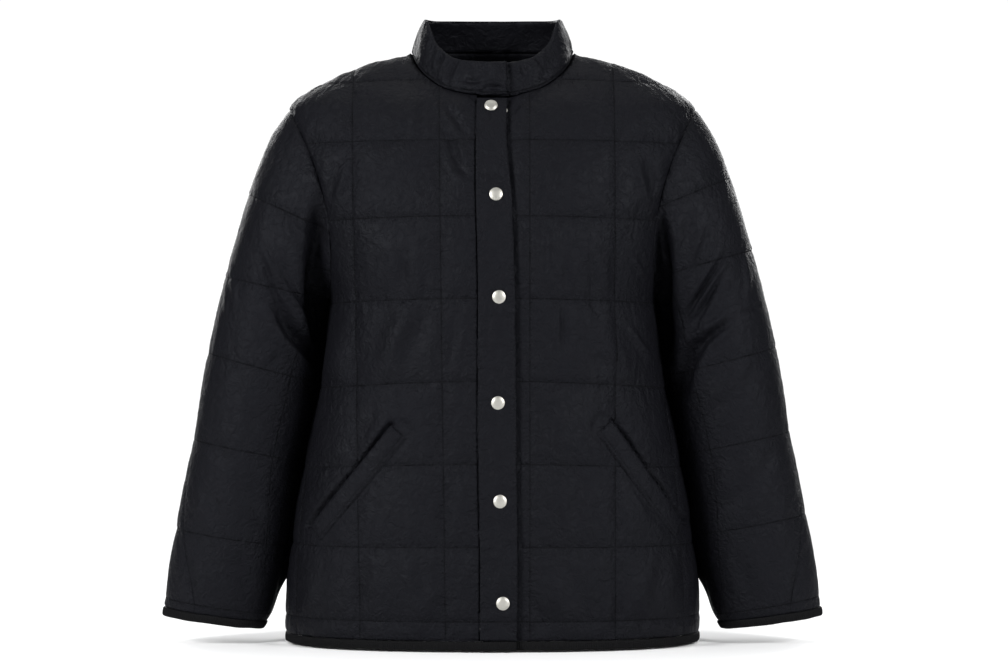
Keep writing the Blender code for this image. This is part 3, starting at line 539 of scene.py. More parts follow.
def column_at(rows: Sequence[Level] | Sequence[BandEdge], name: str, height: Array) -> Array:
    """One column of a table, whose rows go from the highest down, read at each height."""
    heights = np.array([row.height for row in rows[::-1]], float)
    return smooth_through(heights, np.array([getattr(row, name) for row in rows[::-1]], float), height)


class BodyForm:
    """The body's general form: oval level sections, a neckline and two armholes."""

    roundness = 2.35
    hem = -658.6
    neck_point = (94.0, 4.0)
    armhole_tip = (233.0, -62.0)
    armhole_base = (186.0, -274.0)
    armhole_depth = {Half.FRONT: 80.0, Half.BACK: 88.0}
    armhole_hollow = {Half.FRONT: 20.0, Half.BACK: 8.0}

    def level_value(self, name: str, height: Array) -> Array:
        """One size of the level section at each height."""
        return column_at(BODY_LEVELS, name, height)

    def depth(self, height: Array, half: Half) -> Array:
        """Depth of the front or back half of the section."""
        return self.level_value(half.value + "_depth", height)

    def armhole_at(self, height: Array, half: Half) -> tuple[Array, Array]:
        """Where the armhole's edge lies at each height: across, and depth."""
        middle_up = (self.armhole_tip[1] + self.armhole_base[1]) / 2
        half_up = (self.armhole_tip[1] - self.armhole_base[1]) / 2
        cosine = np.clip((height - middle_up) / half_up, -1, 1)
        sine_squared = 1 - cosine**2
        middle = (self.armhole_tip[0] + self.armhole_base[0]) / 2
        reach = (self.armhole_tip[0] - self.armhole_base[0]) / 2
        across = middle + reach * cosine - self.armhole_hollow[half] * sine_squared
        return across, self.armhole_depth[half] * np.sqrt(sine_squared)

    def half_width(self, height: Array, half: Half) -> Array:
        """Half width of the section, fitted so that beside the arm it runs through the armhole."""
        plain = self.level_value("half_width", height)
        across, along = self.armhole_at(height, half)
        share = np.clip(along / self.depth(height, half), 0, 0.98)
        fitted = across / (1 - share**self.roundness) ** (1 / self.roundness)
        beside_arm = (height < self.armhole_tip[1]) & (height > self.armhole_base[1])
        return np.where(beside_arm, fitted, plain)

    def surface(self, across: Array, height: Array, half: Half) -> Array:
        """Point at a distance from the middle and a height: |x / a|^n + |y / b|^n = 1 in each level."""
        share = np.clip(np.abs(across) / self.half_width(height, half), 0, 1)
        depth = self.depth(height, half) * (1 - share**self.roundness) ** (1 / self.roundness)
        along = -depth if half is Half.FRONT else depth
        return np.stack(np.broadcast_arrays(across, along, height), axis=-1).astype(float)

    def normal(self, points: Array, half: Half) -> Array:
        """Outward direction, the slope of the oval's equation."""
        across, height = points[..., 0], points[..., 2]
        depth = np.abs(points[..., 1])
        power = self.roundness

        def oval(at_height: Array) -> Array:
            """Left side of the oval's equation with the section of another height."""
            wide = (np.abs(across) / self.half_width(at_height, half)) ** power
            return wide + (depth / self.depth(at_height, half)) ** power

        wide, deep = self.half_width(height, half), self.depth(height, half)
        slope_across = power * (np.abs(across) / wide) ** (power - 1) / wide * np.sign(across)
        slope_along = power * (depth / deep) ** (power - 1) / deep
        slope_up = oval(height + 0.5) - oval(height - 0.5)
        facing = -1.0 if half is Half.FRONT else 1.0
        return unit(np.stack((slope_across, facing * slope_along, slope_up), axis=-1))

    def neck_height(self, across: Array, half: Half) -> Array:
        """Height of the neckline at a distance from the middle."""
        rows = np.array(FRONT_NECK if half is Half.FRONT else BACK_NECK, float)
        return smooth_through(rows[:, 0], rows[:, 1], np.abs(across))

    def place_on_front(self, across: float, height: float) -> tuple[Array, Array]:
        """Point of the front at a place in the front view, and the outward direction there."""
        point = self.surface(np.array(across, float), np.array(height, float), Half.FRONT)
        return point, self.normal(point, Half.FRONT)


FORM = BodyForm()


def grain_across(line: GrainLine, height: Array) -> Array:
    """Distance from the middle of an upright line at each height."""
    return line.at_top + (line.at_hem - line.at_top) * np.clip(height / FORM.hem, 0, 1)


def band_edge(name: str, height: Array) -> Array:
    """Place of the front band's seam or free edge at each height."""
    return column_at(BAND_EDGES, name, height)


class PanelPlan(NamedTuple):
    """How finely a body panel's grid is cut: rows at the hem, per square and in the yoke, and columns."""

    hem_rows: int
    square_rows: int
    yoke_rows: int
    columns: tuple[int, int, int]


class PanelGrid:
    """Lays a grid over half a body panel, from the hem to the neckline and the shoulder seam."""

    fine = 240
    grain_top = -40.0

    def __init__(
        self,
        half: Half,
        inner_edge: Callable[[float], float],
        grain: Sequence[GrainLine],
        plan: PanelPlan,
    ) -> None:
        """Keeps what the grid depends on.

        Args:
            half: Front or back.
            inner_edge: Place of the panel's inner edge at a height.
            grain: The panel's upright lines, which columns follow.
            plan: How finely it is cut.
        """
        self.half = half
        self.inner_edge = inner_edge
        self.grain = grain
        self.plan = plan

    def row_levels(self) -> tuple[Array, Array]:
        """Height and side drop of each row below the yoke."""
        heights = [FORM.hem, *[line.height for line in BODY_LINES]]
        drops = [0.0, *[line.side_drop for line in BODY_LINES]]
        cells = [self.plan.hem_rows] + [self.plan.square_rows] * (len(BODY_LINES) - 1)
        return spaced(heights, cells), spaced(drops, cells)

    def low_row(self, height: float, drop: float) -> Array:
        """Points of one level row, from the inner edge to the side seam or the armhole."""
        reach = float(FORM.half_width(np.array(height), self.half))
        end = reach
        for _ in range(4):
            end_height = np.array(height - drop * (end / reach) ** 2)
            if FORM.armhole_base[1] < end_height < FORM.armhole_tip[1]:
                end = float(FORM.armhole_at(end_height, self.half)[0])
            else:
                end = float(FORM.half_width(end_height, self.half))
        inner = self.inner_edge(height)
        power = FORM.roundness / 2
        edge = np.clip(inner / reach, -1, 1)
        start_turn = np.arcsin(np.sign(edge) * np.abs(edge) ** power)
        end_turn = np.arcsin(np.clip(end / reach, 0, 1) ** power)
        sines = np.sin(np.linspace(start_turn, end_turn, self.fine))
        across = np.sign(sines) * np.abs(sines) ** (1 / power) * reach
        across = inner + (across - across[0]) * (end - inner) / (across[-1] - across[0])
        curve = FORM.surface(across, height - drop * (across / reach) ** 2, self.half)
        along = path_lengths(curve)
        knots = [0.0]
        for line in self.grain:
            place = float(np.interp(grain_across(line, np.array(height)), curve[:, 0], along))
            knots.append(min(place, along[-1] * 0.9))
        return points_at(curve, spaced([*knots, along[-1]], self.plan.columns))

    def top_row(self) -> Array:
        """Points of the neckline and then the shoulder seam, one of them on the neck's corner."""
        inner = self.inner_edge(FORM.neck_point[1])
        neck_across = np.linspace(inner, FORM.neck_point[0], self.fine)
        neck = FORM.surface(neck_across, FORM.neck_height(neck_across, self.half), self.half)
        heights = np.linspace(FORM.neck_point[1], FORM.armhole_tip[1], self.fine)[1:]
        across = FORM.level_value("half_width", heights)
        seam = np.stack((across, np.zeros(across.shape), heights), axis=-1)
        curve = np.concatenate((neck, seam))
        along = path_lengths(curve)
        corner = along[len(neck) - 1]
        tops = [grain_across(line, np.array(self.grain_top)) for line in self.grain]
        first, second = [float(np.interp(top, curve[:, 0], along)) for top in tops]
        cells = self.plan.columns
        if self.half is Half.BACK:
            return points_at(curve, spaced([0.0, corner, second, along[-1]], cells))
        on_neck = round(cells[1] * (corner - first) / (second - first))
        split = (cells[0], on_neck, cells[1] - on_neck, cells[2])
        return points_at(curve, spaced([0.0, first, corner, second, along[-1]], split))

    def yoke(self, bottom: Array, top: Array) -> Array:
        """Fills the panel between its highest level row and its top edge."""
        steps = np.linspace(0, 1, self.fine // 2)[:, None]
        share = np.linspace(0, 1, len(bottom))[None, :]
        edge_height = bottom[-1, 2] + (top[-1, 2] - bottom[-1, 2]) * steps[:, 0]
        edge_across = FORM.armhole_at(edge_height, self.half)[0]
        edge_across[-1] = top[-1, 0]
        blended = (1 - steps) * bottom[None, :, 0] + steps * top[None, :, 0]
        across = blended + (edge_across[:, None] - blended[:, -1:]) * share**3
        height = (1 - steps) * bottom[None, :, 2] + steps * top[None, :, 2]
        dense = FORM.surface(across, height, self.half)
        lengths = lengths_along(dense, 0)
        columns = []
        for column in range(dense.shape[1]):
            places = np.linspace(0, lengths[-1, column], self.plan.yoke_rows + 1)
            columns.append(points_at(dense[:, column], places))
        grid = np.stack(columns, axis=1)
        grid[-1] = top
        return grid[1:]

    def points(self) -> Array:
        """The whole grid, rows from hem to top, columns from the inner edge outwards."""
        low = np.stack([self.low_row(height, drop) for height, drop in zip(*self.row_levels())])
        return np.concatenate((low, self.yoke(low[-1], self.top_row())))


def mirrored(points: Array, hand: int) -> Array:
    """Points of the half that the hand names."""
    return points * np.array((float(hand), 1.0, 1.0))


# Turning grids into meshes


def link_mesh(name: str, mesh: bpy.types.Mesh) -> bpy.types.Object:
    """Adds a mesh to the scene as a smooth-shaded object at the origin."""
    mesh.shade_smooth()
    piece = bpy.data.objects.new(name, mesh)
    bpy.context.scene.collection.objects.link(piece)
    return piece


def turn_outwards(mesh: bpy.types.Mesh) -> None:
    """Points every face of a closed mesh outwards."""
    form = bmesh.new()
    form.from_mesh(mesh)
    bmesh.ops.recalc_face_normals(form, faces=form.faces)
    form.to_mesh(mesh)
    form.free()


def grid_faces(index: NDArray[np.int64], closed: bool) -> NDArray[np.int64]:
    """Four-sided faces of a grid of vertex numbers, closed round its columns or not."""
    if closed:
        index = np.concatenate((index, index[:, :1]), axis=1)
    corners = (index[:-1, :-1], index[:-1, 1:], index[1:, 1:], index[1:, :-1])
    return np.stack([corner.ravel() for corner in corners], axis=1)


def rim_faces(fine: NDArray[np.int64], coarse: NDArray[np.int64], step: int) -> list[list[int]]:
    """Faces between a fine border and one with a point for each few of its cells."""
    count = len(coarse) - 1
    parts = [fine[k : k + step * count : step][:count] for k in range(step)]
    runs = np.stack([*parts, fine[step :: step][:count], coarse[1:], coarse[:-1]], axis=1)
    return runs.tolist()


def set_uv(mesh: bpy.types.Mesh, name: str, across: Array, along: Array, total: float) -> None:
    """Gives each corner two coordinates.

    Args:
        mesh: The mesh to map.
        name: Name of the map.
        across: First coordinate of each vertex.
        along: Second coordinate of each vertex.
        total: How much the first grows all round where the piece closes on itself, or 0.
    """
    vertex = np.empty(len(mesh.loops), int)
    mesh.loops.foreach_get("vertex_index", vertex)
    starts = np.empty(len(mesh.polygons), int)
    mesh.polygons.foreach_get("loop_start", starts)
    u = across[vertex]
    if total > 0:
        sizes = np.diff(np.append(starts, len(u)))
        highest = np.repeat(np.maximum.reduceat(u, starts), sizes)
        u = np.where(highest - u > total / 2, u + total, u)
    layer = mesh.uv_layers.new(name=name)
    layer.data.foreach_set("uv", np.stack((u, along[vertex]), axis=1).astype(np.float32).ravel())


class ClothPanel:
    """A panel of padded cloth on a grid, with its stitched lines, relief and two walls."""

    wall = 2.4
    edge_round = 3.0
    edge_drop = 0.5
    lining_step = 3
    lining_share = 0.3

    def __init__(self, points: Array, normals: Array, closed: bool = False) -> None:
        """Measures the grid.

        Args:
            points: Grid of points, rows by columns.
            normals: Outward direction at each.
            closed: Whether the columns close to a tube.
        """
        self.points = points
        self.normals = normals
        self.closed = closed
        self.across = lengths_along(points, 1)
        self.along = lengths_along(points, 0)
        self.shape = points.shape[:2]
        self.base = np.zeros(self.shape)
        self.relief = np.zeros(self.shape)
        self.pull = np.zeros(self.shape)
        self.turns = 0.0
        self.lines: list[StitchLine] = []
        self.upright_count: Array | None = None

    def to_top(self) -> Array:
        """Distance of each point from the panel's last row."""
        return self.along[-1:] - self.along

    def to_far_side(self) -> Array:
        """Distance of each point from the panel's last column."""
        return self.across[:, -1:] - self.across

    def border(self) -> Array:
        """Distance of each point from the panel's border."""
        edges = [self.along, self.to_top()]
        if not self.closed:
            edges += [self.across, self.to_far_side()]
        return np.minimum.reduce(edges)

    def outer(self) -> Array:
        """The outer surface, whose lift falls by the edge's drop at the border.

        A sewn edge drops little, so that two panels still meet where they face apart.
        """
        lift = self.base + self.relief - self.edge_drop * (1 - self.rounding())
        return self.points + self.normals * lift[..., None]

    def inner(self) -> Array:
        """The plainer inner surface, a wall further in, which meets the outer one at the border."""
        depth = self.edge_drop + (self.wall - self.edge_drop) * self.rounding()
        lift = self.base + self.lining_share * self.relief - depth
        return self.points + self.normals * lift[..., None]

    def rounding(self) -> Array:
        """Quarter circle from 0 at the border to 1: sqrt(1 - (1 - d / r)^2)."""
        part = np.clip(self.border() / self.edge_round, 0, 1)
        return np.sqrt(1 - (1 - part) ** 2)

    def build(self, name: str) -> bpy.types.Object:
        """Makes the closed shell, fine outside and coarser inside.

        Args:
            name: The piece's name.

        Returns:
            The new object.
        """
        step = self.lining_step
        outer = self.outer()
        inner = self.inner()[::step, ::step]
        rows, columns = self.shape
        fine = np.arange(rows * columns).reshape(rows, columns)
        coarse = np.arange(inner.shape[0] * inner.shape[1]).reshape(inner.shape[:2]) + fine.size
        faces = grid_faces(fine, self.closed).tolist() + grid_faces(coarse, self.closed).tolist()
        for row in (0, -1):
            fine_row, coarse_row = fine[row], coarse[row]
            if self.closed:
                fine_row = np.append(fine_row, fine_row[0])
                coarse_row = np.append(coarse_row, coarse_row[0])
            faces += rim_faces(fine_row, coarse_row, step)
        if not self.closed:
            for column in (0, -1):
                faces += rim_faces(fine[:, column], coarse[:, column], step)
        mesh = bpy.data.meshes.new(name)
        vertices = np.concatenate((outer.reshape(-1, 3), inner.reshape(-1, 3))) * METRES
        mesh.from_pydata(vertices.tolist(), [], faces)
        turn_outwards(mesh)
        total = float(self.across[:, -1].max() * (1 + 1 / columns)) if self.closed else 0.0
        across, along = self.both(self.across * METRES), self.both(self.along * METRES)
        set_uv(mesh, "lengths", across, along, total * METRES)
        uprights = self.upright_count
        if uprights is None:
            uprights = line_count(self.lines, False, QUILT_PITCH, self.shape)
        levels = line_count(self.lines, True, QUILT_PITCH, self.shape)
        set_uv(mesh, "quilting", self.both(uprights, 0.5), self.both(levels, 0.5), self.turns)
        pull = self.both(self.pull, 0.0).astype(np.float32)
        mesh.attributes.new("pull", "FLOAT", "POINT").data.foreach_set("value", pull)
        return link_mesh(name, mesh)

    def both(self, values: Array, lining: float | None = None) -> Array:
        """Values of the outer points, then of the inner ones: the same, or one value for the lining."""
        inner = values[:: self.lining_step, :: self.lining_step]
        if lining is not None:
            inner = np.full(inner.shape, lining)
        return np.concatenate((values.ravel(), inner.ravel()))

    def flat_size(self) -> tuple[float, float, float]:
        """Width, length and area of the flat cut, in metres, with a hundredth for easing it in."""
        width = float(self.across[:, -1].max())
        if self.closed:
            width += float(np.linalg.norm(self.points[:, 0] - self.points[:, -1], axis=-1).max())
        length = float(self.along[-1].max())
        across_way = np.diff(self.points, axis=1)[:-1]
        along_way = np.diff(self.points, axis=0)[:, :-1]
        area = float(np.linalg.norm(np.cross(across_way, along_way), axis=-1).sum()) * 1.01
        area = min(area, width * length)
        return round(width * METRES, 3), round(length * METRES, 3), round(area * METRES**2, 4)


# Stitches


@dataclass(frozen=True)
class ThreadRow:
    """A row of lockstitches: small spindles of thread lying along a line."""

    pitch: float = 3.3
    length: float = 2.5
    thickness: float = 0.5
    lift_share: float = 0.6
    way_reach: float = 0.8

    def places(self, points: Array, normals: Array) -> Array:
        """Corners of every stitch along a line.

        Each stitch is a spindle of six points: two ends, two sides, its top and its bottom.

        Args:
            points: The line on the cloth.
            normals: Outward direction at each point.

        Returns:
            Points of all stitches, stitch by corner by axis.
        """
        along = path_lengths(points)
        middles = np.arange(self.pitch, along[-1] - self.pitch / 2, self.pitch)
        if len(middles) < 2:
            return np.zeros((0, 6, 3))
        centre = points_at(points, middles)
        ahead = points_at(points, middles + self.way_reach)
        behind = points_at(points, middles - self.way_reach)
        way = unit(ahead - behind)
        out = unit(read_at(middles, along, normals))
        side = np.cross(out, way)
        half, thick = self.length / 2, self.thickness / 2
        centre = centre + out * thick * self.lift_share
        corners = [
            centre - way * half - out * thick,
            centre + way * half - out * thick,
            centre + side * thick,
            centre - side * thick,
            centre + out * thick,
            centre - out * thick,
        ]
        return np.stack(corners, axis=1)


SPINDLE = np.array(((0, 2, 4), (2, 1, 4), (1, 3, 4), (3, 0, 4), (2, 0, 5), (1, 2, 5), (3, 1, 5), (0, 3, 5)))


def line_on_surface(line: StitchLine, surface: Array, normals: Array) -> tuple[Array, Array]:
    """Follows a stitched line over a surface, to where its signed distance changes sign.

    Args:
        line: The line.
        surface: Grid of points of the outer surface.
        normals: Outward directions there.

    Returns:
        Points of the line, and the outward direction at each.
    """
    away = line.away if line.level else line.away.T
    grid = surface if line.level else surface.transpose(1, 0, 2)
    facing = normals if line.level else normals.transpose(1, 0, 2)
    change = (away[:-1] <= 0) != (away[1:] <= 0)
    found = np.nonzero(change.any(axis=0))[0]
    row = change[:, found].argmax(axis=0)
    before, after = away[row, found], away[row + 1, found]
    part = (before / (before - after))[:, None]
    points = grid[row, found] * (1 - part) + grid[row + 1, found] * part
    return points, facing[row, found]


def sew(name: str, lines: Sequence[tuple[Array, Array]], thread: ThreadRow) -> bpy.types.Object:
    """Makes one mesh of all the stitches along several lines."""
    corners = np.concatenate([thread.places(points, normals) for points, normals in lines])
    count = len(corners)
    faces = (np.arange(count)[:, None, None] * 6 + SPINDLE[None]).reshape(-1, 3)
    mesh = bpy.data.meshes.new(name)
    mesh.from_pydata((corners.reshape(-1, 3) * METRES).tolist(), [], faces.tolist())
    return link_mesh(name, mesh)


# Finishes


def linear(hex_colour: str) -> tuple[float, float, float, float]:
    """Turns an sRGB colour such as 1A1A1E to linear values with full opacity."""
    parts = [int(hex_colour[start : start + 2], 16) / 255 for start in (0, 2, 4)]
    values = [part / 12.92 if part <= 0.04045 else ((part + 0.055) / 1.055) ** 2.4 for part in parts]
    return values[0], values[1], values[2], 1.0


def add_node(tree: bpy.types.NodeTree, kind: str, settings: dict, links: dict) -> bpy.types.Node:
    """Adds a shader node.

    Args:
        tree: The material's node tree.
        kind: Type name of the node.
        settings: Values of its properties, or of its sockets where the key is a socket's name or number.
        links: Output sockets to plug into its named or numbered inputs.

    Returns:
        The new node.
    """
    node = tree.nodes.new(kind)
    for key, value in settings.items():
        if isinstance(key, int) or key in node.inputs:
            node.inputs[key].default_value = value
        else:
            setattr(node, key, value)
    for key, output in links.items():
        tree.links.new(output, node.inputs[key])
    return node


def new_material(name: str) -> tuple[bpy.types.Material, bpy.types.Node]:
    """A material with nodes, and its shader."""
    material = bpy.data.materials.new(name)
    material.use_nodes = True
    return material, material.node_tree.nodes["Principled BSDF"]


@dataclass(frozen=True)
class WovenNylon:
    """Black nylon taffeta, calendered: a fine plain weave pressed to a satin gloss.

    Nearly all that the eye sees of it is its soft, broken gloss; the dye itself is close to black.
    The threads, 0.12 mm apart, are too fine to show, so they are drawn 0.7 mm apart.
    """

    name: str = "black_nylon_taffeta"
    colour: str = "0A0A0D"
    worn: str = "0E0E12"
    # Painted shade: the colour that the stitched lines darken to, standing for the shade in the sewn grooves
    # and partly for the dark thread
    painted_seam_shade: str = "040405"
    roughness: float = 0.56
    gloss_level: float = 0.085
    thread_mm: float = 0.7
    crinkle_mm: float = 9.0
    pucker_mm: float = 3.8
    line_mm: float = 0.7

    def build(self) -> bpy.types.Material:
        """Makes the material."""
        material, shader = new_material(self.name)
        tree = material.node_tree
        place = add_node(tree, "ShaderNodeTexCoord", {}, {})
        lengths = add_node(tree, "ShaderNodeUVMap", {"uv_map": "lengths"}, {})
        pull = add_node(tree, "ShaderNodeAttribute", {"attribute_name": "pull"}, {})
        cloud = add_node(
            tree,
            "ShaderNodeTexNoise",
            {"Scale": 1 / (60 * METRES), "Detail": 5.0, "Roughness": 0.6},
            {"Vector": place.outputs["Object"]},
        )
        tone = add_node(
            tree,
            "ShaderNodeMix",
            {"data_type": "RGBA", 6: linear(self.colour), 7: linear(self.worn)},
            {0: cloud.outputs["Fac"]},
        )
        seam = self.seam(tree)
        # Painted shade: the base colour darkens along each stitched line, as the shade in its sewn groove
        # and partly the dark thread would show
        dark = add_node(
            tree,
            "ShaderNodeMix",
            {"data_type": "RGBA", 7: linear(self.painted_seam_shade)},
            {0: seam, 6: tone.outputs[2]},
        )
        tree.links.new(dark.outputs[2], shader.inputs["Base Color"])
        ends = {"To Min": self.roughness - 0.06, "To Max": self.roughness + 0.1}
        gloss = add_node(
            tree,
            "ShaderNodeMapRange",
            {"From Min": 0.3, "From Max": 0.7, **ends},
            {"Value": cloud.outputs["Fac"]},
        )
        rough = add_node(
            tree,
            "ShaderNodeMath",
            {"operation": "MULTIPLY_ADD", 1: 0.4},
            {0: seam, 2: gloss.outputs["Result"]},
        )
        tree.links.new(rough.outputs[0], shader.inputs["Roughness"])
        normal = self.bump(tree, self.crinkle(tree, place), 0.9, 2.8 * METRES, None)
        normal = self.bump(tree, self.puckers(tree, place, pull), 0.9, 2.8 * METRES, normal)
        sunk = add_node(tree, "ShaderNodeMath", {"operation": "MULTIPLY", 1: -1.0}, {0: seam})
        normal = self.bump(tree, sunk.outputs[0], 0.8, 0.45 * METRES, normal)
        normal = self.bump(tree, self.weave(tree, lengths), 0.22, 0.1 * METRES, normal)
        tree.links.new(normal, shader.inputs["Normal"])
        shader.inputs["Specular IOR Level"].default_value = self.gloss_level
        shader.inputs["Specular Tint"].default_value = (0.86, 0.9, 1.0, 1.0)
        return material

    def bump(
        self,
        tree: bpy.types.NodeTree,
        height: bpy.types.NodeSocket,
        strength: float,
        distance: float,
        below: bpy.types.NodeSocket | None,
    ) -> bpy.types.NodeSocket:
        """Adds one layer of relief over the layers below it."""
        links = {"Height": height} if below is None else {"Height": height, "Normal": below}
        layer = add_node(tree, "ShaderNodeBump", {"Strength": strength, "Distance": distance}, links)
        return layer.outputs["Normal"]

    def seam(self, tree: bpy.types.NodeTree) -> bpy.types.NodeSocket:
        """1 on a stitched line and 0 beside it, where a count of lines is or isn't a whole number: the mask
        of the painted seam shade, and of the line's roughness and groove.
        """
        split = add_node(
            tree,
            "ShaderNodeSeparateXYZ",
            {},
            {0: add_node(tree, "ShaderNodeUVMap", {"uv_map": "quilting"}, {}).outputs["UV"]},
        )
        near = []
        for axis in ("X", "Y"):
            folded = add_node(
                tree, "ShaderNodeMath", {"operation": "PINGPONG", 1: 0.5}, {0: split.outputs[axis]}
            )
            fall = {"From Max": self.line_mm * 1.6 / 90, "To Min": 1.0, "To Max": 0.0}
            line = add_node(
                tree,
                "ShaderNodeMapRange",
                {"interpolation_type": "SMOOTHSTEP", **fall},
                {"Value": folded.outputs[0]},
            )
            near.append(line.outputs["Result"])
        line = add_node(tree, "ShaderNodeMath", {"operation": "MAXIMUM"}, {0: near[0], 1: near[1]})
        place = add_node(tree, "ShaderNodeTexCoord", {}, {})
        patch = add_node(
            tree,
            "ShaderNodeTexNoise",
            {"Scale": 1 / (14 * METRES), "Detail": 2.0},
            {"Vector": place.outputs["Object"]},
        )
        broken = add_node(
            tree,
            "ShaderNodeMapRange",
            {1: 0.35, 2: 0.65, 3: 0.35, 4: 1.0},
            {0: patch.outputs["Fac"]},
        )
        shown = add_node(
            tree,
            "ShaderNodeMath",
            {"operation": "MULTIPLY"},
            {0: line.outputs[0], 1: broken.outputs["Result"]},
        )
        return shown.outputs[0]

    def crinkle(self, tree: bpy.types.NodeTree, place: bpy.types.Node) -> bpy.types.NodeSocket:
        """Soft crinkles all over, as light nylon has after wear."""
        noise = add_node(
            tree,
            "ShaderNodeTexNoise",
            {"Scale": 1 / (self.crinkle_mm * METRES), "Detail": 4.0, "Roughness": 0.58, "Distortion": 0.9},
            {"Vector": place.outputs["Object"]},
        )
        return noise.outputs["Fac"]

    def puckers(
        self, tree: bpy.types.NodeTree, place: bpy.types.Node, pull: bpy.types.Node
    ) -> bpy.types.NodeSocket:
        """Small puckers that die away from the seams: noise times the pull of the thread."""
        noise = add_node(
            tree,
            "ShaderNodeTexNoise",
            {"Scale": 1 / (self.pucker_mm * METRES), "Detail": 2.5, "Roughness": 0.5, "Distortion": 0.4},
            {"Vector": place.outputs["Object"]},
        )
        product = add_node(
            tree,
            "ShaderNodeMath",
            {"operation": "MULTIPLY"},
            {0: noise.outputs["Fac"], 1: pull.outputs["Fac"]},
        )
        return product.outputs[0]

    def weave(self, tree: bpy.types.NodeTree, lengths: bpy.types.Node) -> bpy.types.NodeSocket:
        """Height of a plain weave: the product of two sine waves over the piece's own lengths."""
        split = add_node(tree, "ShaderNodeSeparateXYZ", {}, {0: lengths.outputs["UV"]})
        waves = []
        for axis in ("X", "Y"):
            turn = add_node(
                tree,
                "ShaderNodeMath",
                {"operation": "MULTIPLY", 1: np.pi / (self.thread_mm * METRES)},
                {0: split.outputs[axis]},
            )
            waves.append(add_node(tree, "ShaderNodeMath", {"operation": "SINE"}, {0: turn.outputs[0]}))
        product = add_node(
            tree,
            "ShaderNodeMath",
            {"operation": "MULTIPLY"},
            {0: waves[0].outputs[0], 1: waves[1].outputs[0]},
        )
        return product.outputs[0]


@dataclass(frozen=True)
class GrainedFinish:
    """A finish whose fine grain mixes two colours, and may break its gloss and stand up a little.

    Attributes:
        name: The material's name.
        colours: Colour of the grain's lows and of its highs.
        grain_mm: Size of the grain.
        detail: How many finer sizes it has.
        coarseness: How strong those are.
        roughness: Roughness of the surface.
        gloss_level: Strength of its reflection.
        metallic: 1 for a metal.
        stretch: Scale of the grain along each axis.
        gloss_range: How much smoother and how much rougher the grain makes it.
        relief: Strength of the grain's bump, and its depth in millimetres.
    """

    name: str
    colours: tuple[str, str]
    grain_mm: float
    detail: float
    coarseness: float
    roughness: float
    gloss_level: float = 0.5
    metallic: float = 0.0
    stretch: tuple[float, float, float] = (1.0, 1.0, 1.0)
    gloss_range: Point = (0.0, 0.0)
    relief: Point = (0.0, 0.0)

    def build(self) -> bpy.types.Material:
        """Makes the material."""
        material, shader = new_material(self.name)
        tree = material.node_tree
        place = add_node(tree, "ShaderNodeTexCoord", {}, {})
        drawn = add_node(
            tree, "ShaderNodeMapping", {"Scale": self.stretch}, {"Vector": place.outputs["Object"]}
        )
        sizes = {"Scale": 1 / (self.grain_mm * METRES), "Detail": self.detail, "Roughness": self.coarseness}
        noise = add_node(tree, "ShaderNodeTexNoise", sizes, {"Vector": drawn.outputs["Vector"]})
        grain = noise.outputs["Fac"]
        low, high = [linear(colour) for colour in self.colours]
        tone = add_node(tree, "ShaderNodeMix", {"data_type": "RGBA", 6: low, 7: high}, {0: grain})
        tree.links.new(tone.outputs[2], shader.inputs["Base Color"])
        shader.inputs["Roughness"].default_value = self.roughness
        if any(self.gloss_range):
            smoother, rougher = self.gloss_range
            ends = {"To Min": self.roughness - smoother, "To Max": self.roughness + rougher}
            gloss = add_node(tree, "ShaderNodeMapRange", ends, {"Value": grain})
            tree.links.new(gloss.outputs["Result"], shader.inputs["Roughness"])
        if any(self.relief):
            strength, depth = self.relief
            bump = add_node(
                tree, "ShaderNodeBump", {"Strength": strength, "Distance": depth * METRES}, {"Height": grain}
            )
            tree.links.new(bump.outputs["Normal"], shader.inputs["Normal"])
        shader.inputs["Specular IOR Level"].default_value = self.gloss_level
        shader.inputs["Metallic"].default_value = self.metallic
        return material


# Black ribbed polyester tape, woven: matte, and darker than the shell between its ribs
RIBBED_TAPE = GrainedFinish(
    "black_ribbed_tape", ("050506", "0B0B0D"), 1.1, 3.0, 0.6, 0.85, gloss_level=0.12, relief=(0.5, 0.2)
)
# Black spun polyester sewing thread: matte, and darker than the glossy cloth that it holds down
SEWING_THREAD = GrainedFinish(
    "black_sewing_thread", ("060607", "0D0D10"), 0.5, 2.0, 0.5, 0.75, gloss_level=0.1
)
# Nickel-plated brass, tumbled and brushed: a bright grey with fine scratches and a soft glint
NICKEL_PLATE = GrainedFinish(
    "brushed_nickel_plate",
    ("AFADA6", "C9C7C0"),
    0.5,
    3.0,
    0.7,
    0.48,
    metallic=1.0,
    stretch=(0.25, 1.0, 1.0),
    gloss_range=(0.06, 0.1),
    relief=(0.15, 0.05),
)


@dataclass(frozen=True)
class PaleFloor:
    """A plain pale studio floor of matt white vinyl."""

    name: str = "white_studio_vinyl"
    colour: str = "F6F6F6"
    roughness: float = 0.9
    full_metres: float = 0.9
    gone_metres: float = 1.9

    def build(self) -> bpy.types.Material:
        """Makes the material, which fades into the white surround away from the jacket."""
        material, shader = new_material(self.name)
        tree = material.node_tree
        place = add_node(tree, "ShaderNodeTexCoord", {}, {})
        away = add_node(tree, "ShaderNodeVectorMath", {"operation": "LENGTH"}, {0: place.outputs["Object"]})
        fade = add_node(
            tree,
            "ShaderNodeMapRange",
            {"interpolation_type": "SMOOTHSTEP", 1: self.full_metres, 2: self.gone_metres, 3: 1.0, 4: 0.0},
            {0: away.outputs["Value"]},
        )
        tree.links.new(fade.outputs["Result"], shader.inputs["Alpha"])
        shader.inputs["Base Color"].default_value = linear(self.colour)
        shader.inputs["Roughness"].default_value = self.roughness
        shader.inputs["Specular IOR Level"].default_value = 0.1
        return material


@dataclass
class Wardrobe:
    """The jacket's finishes, made once."""

    shell: bpy.types.Material = field(default_factory=lambda: WovenNylon().build())
    tape: bpy.types.Material = field(default_factory=RIBBED_TAPE.build)
    thread: bpy.types.Material = field(default_factory=SEWING_THREAD.build)
    metal: bpy.types.Material = field(default_factory=NICKEL_PLATE.build)


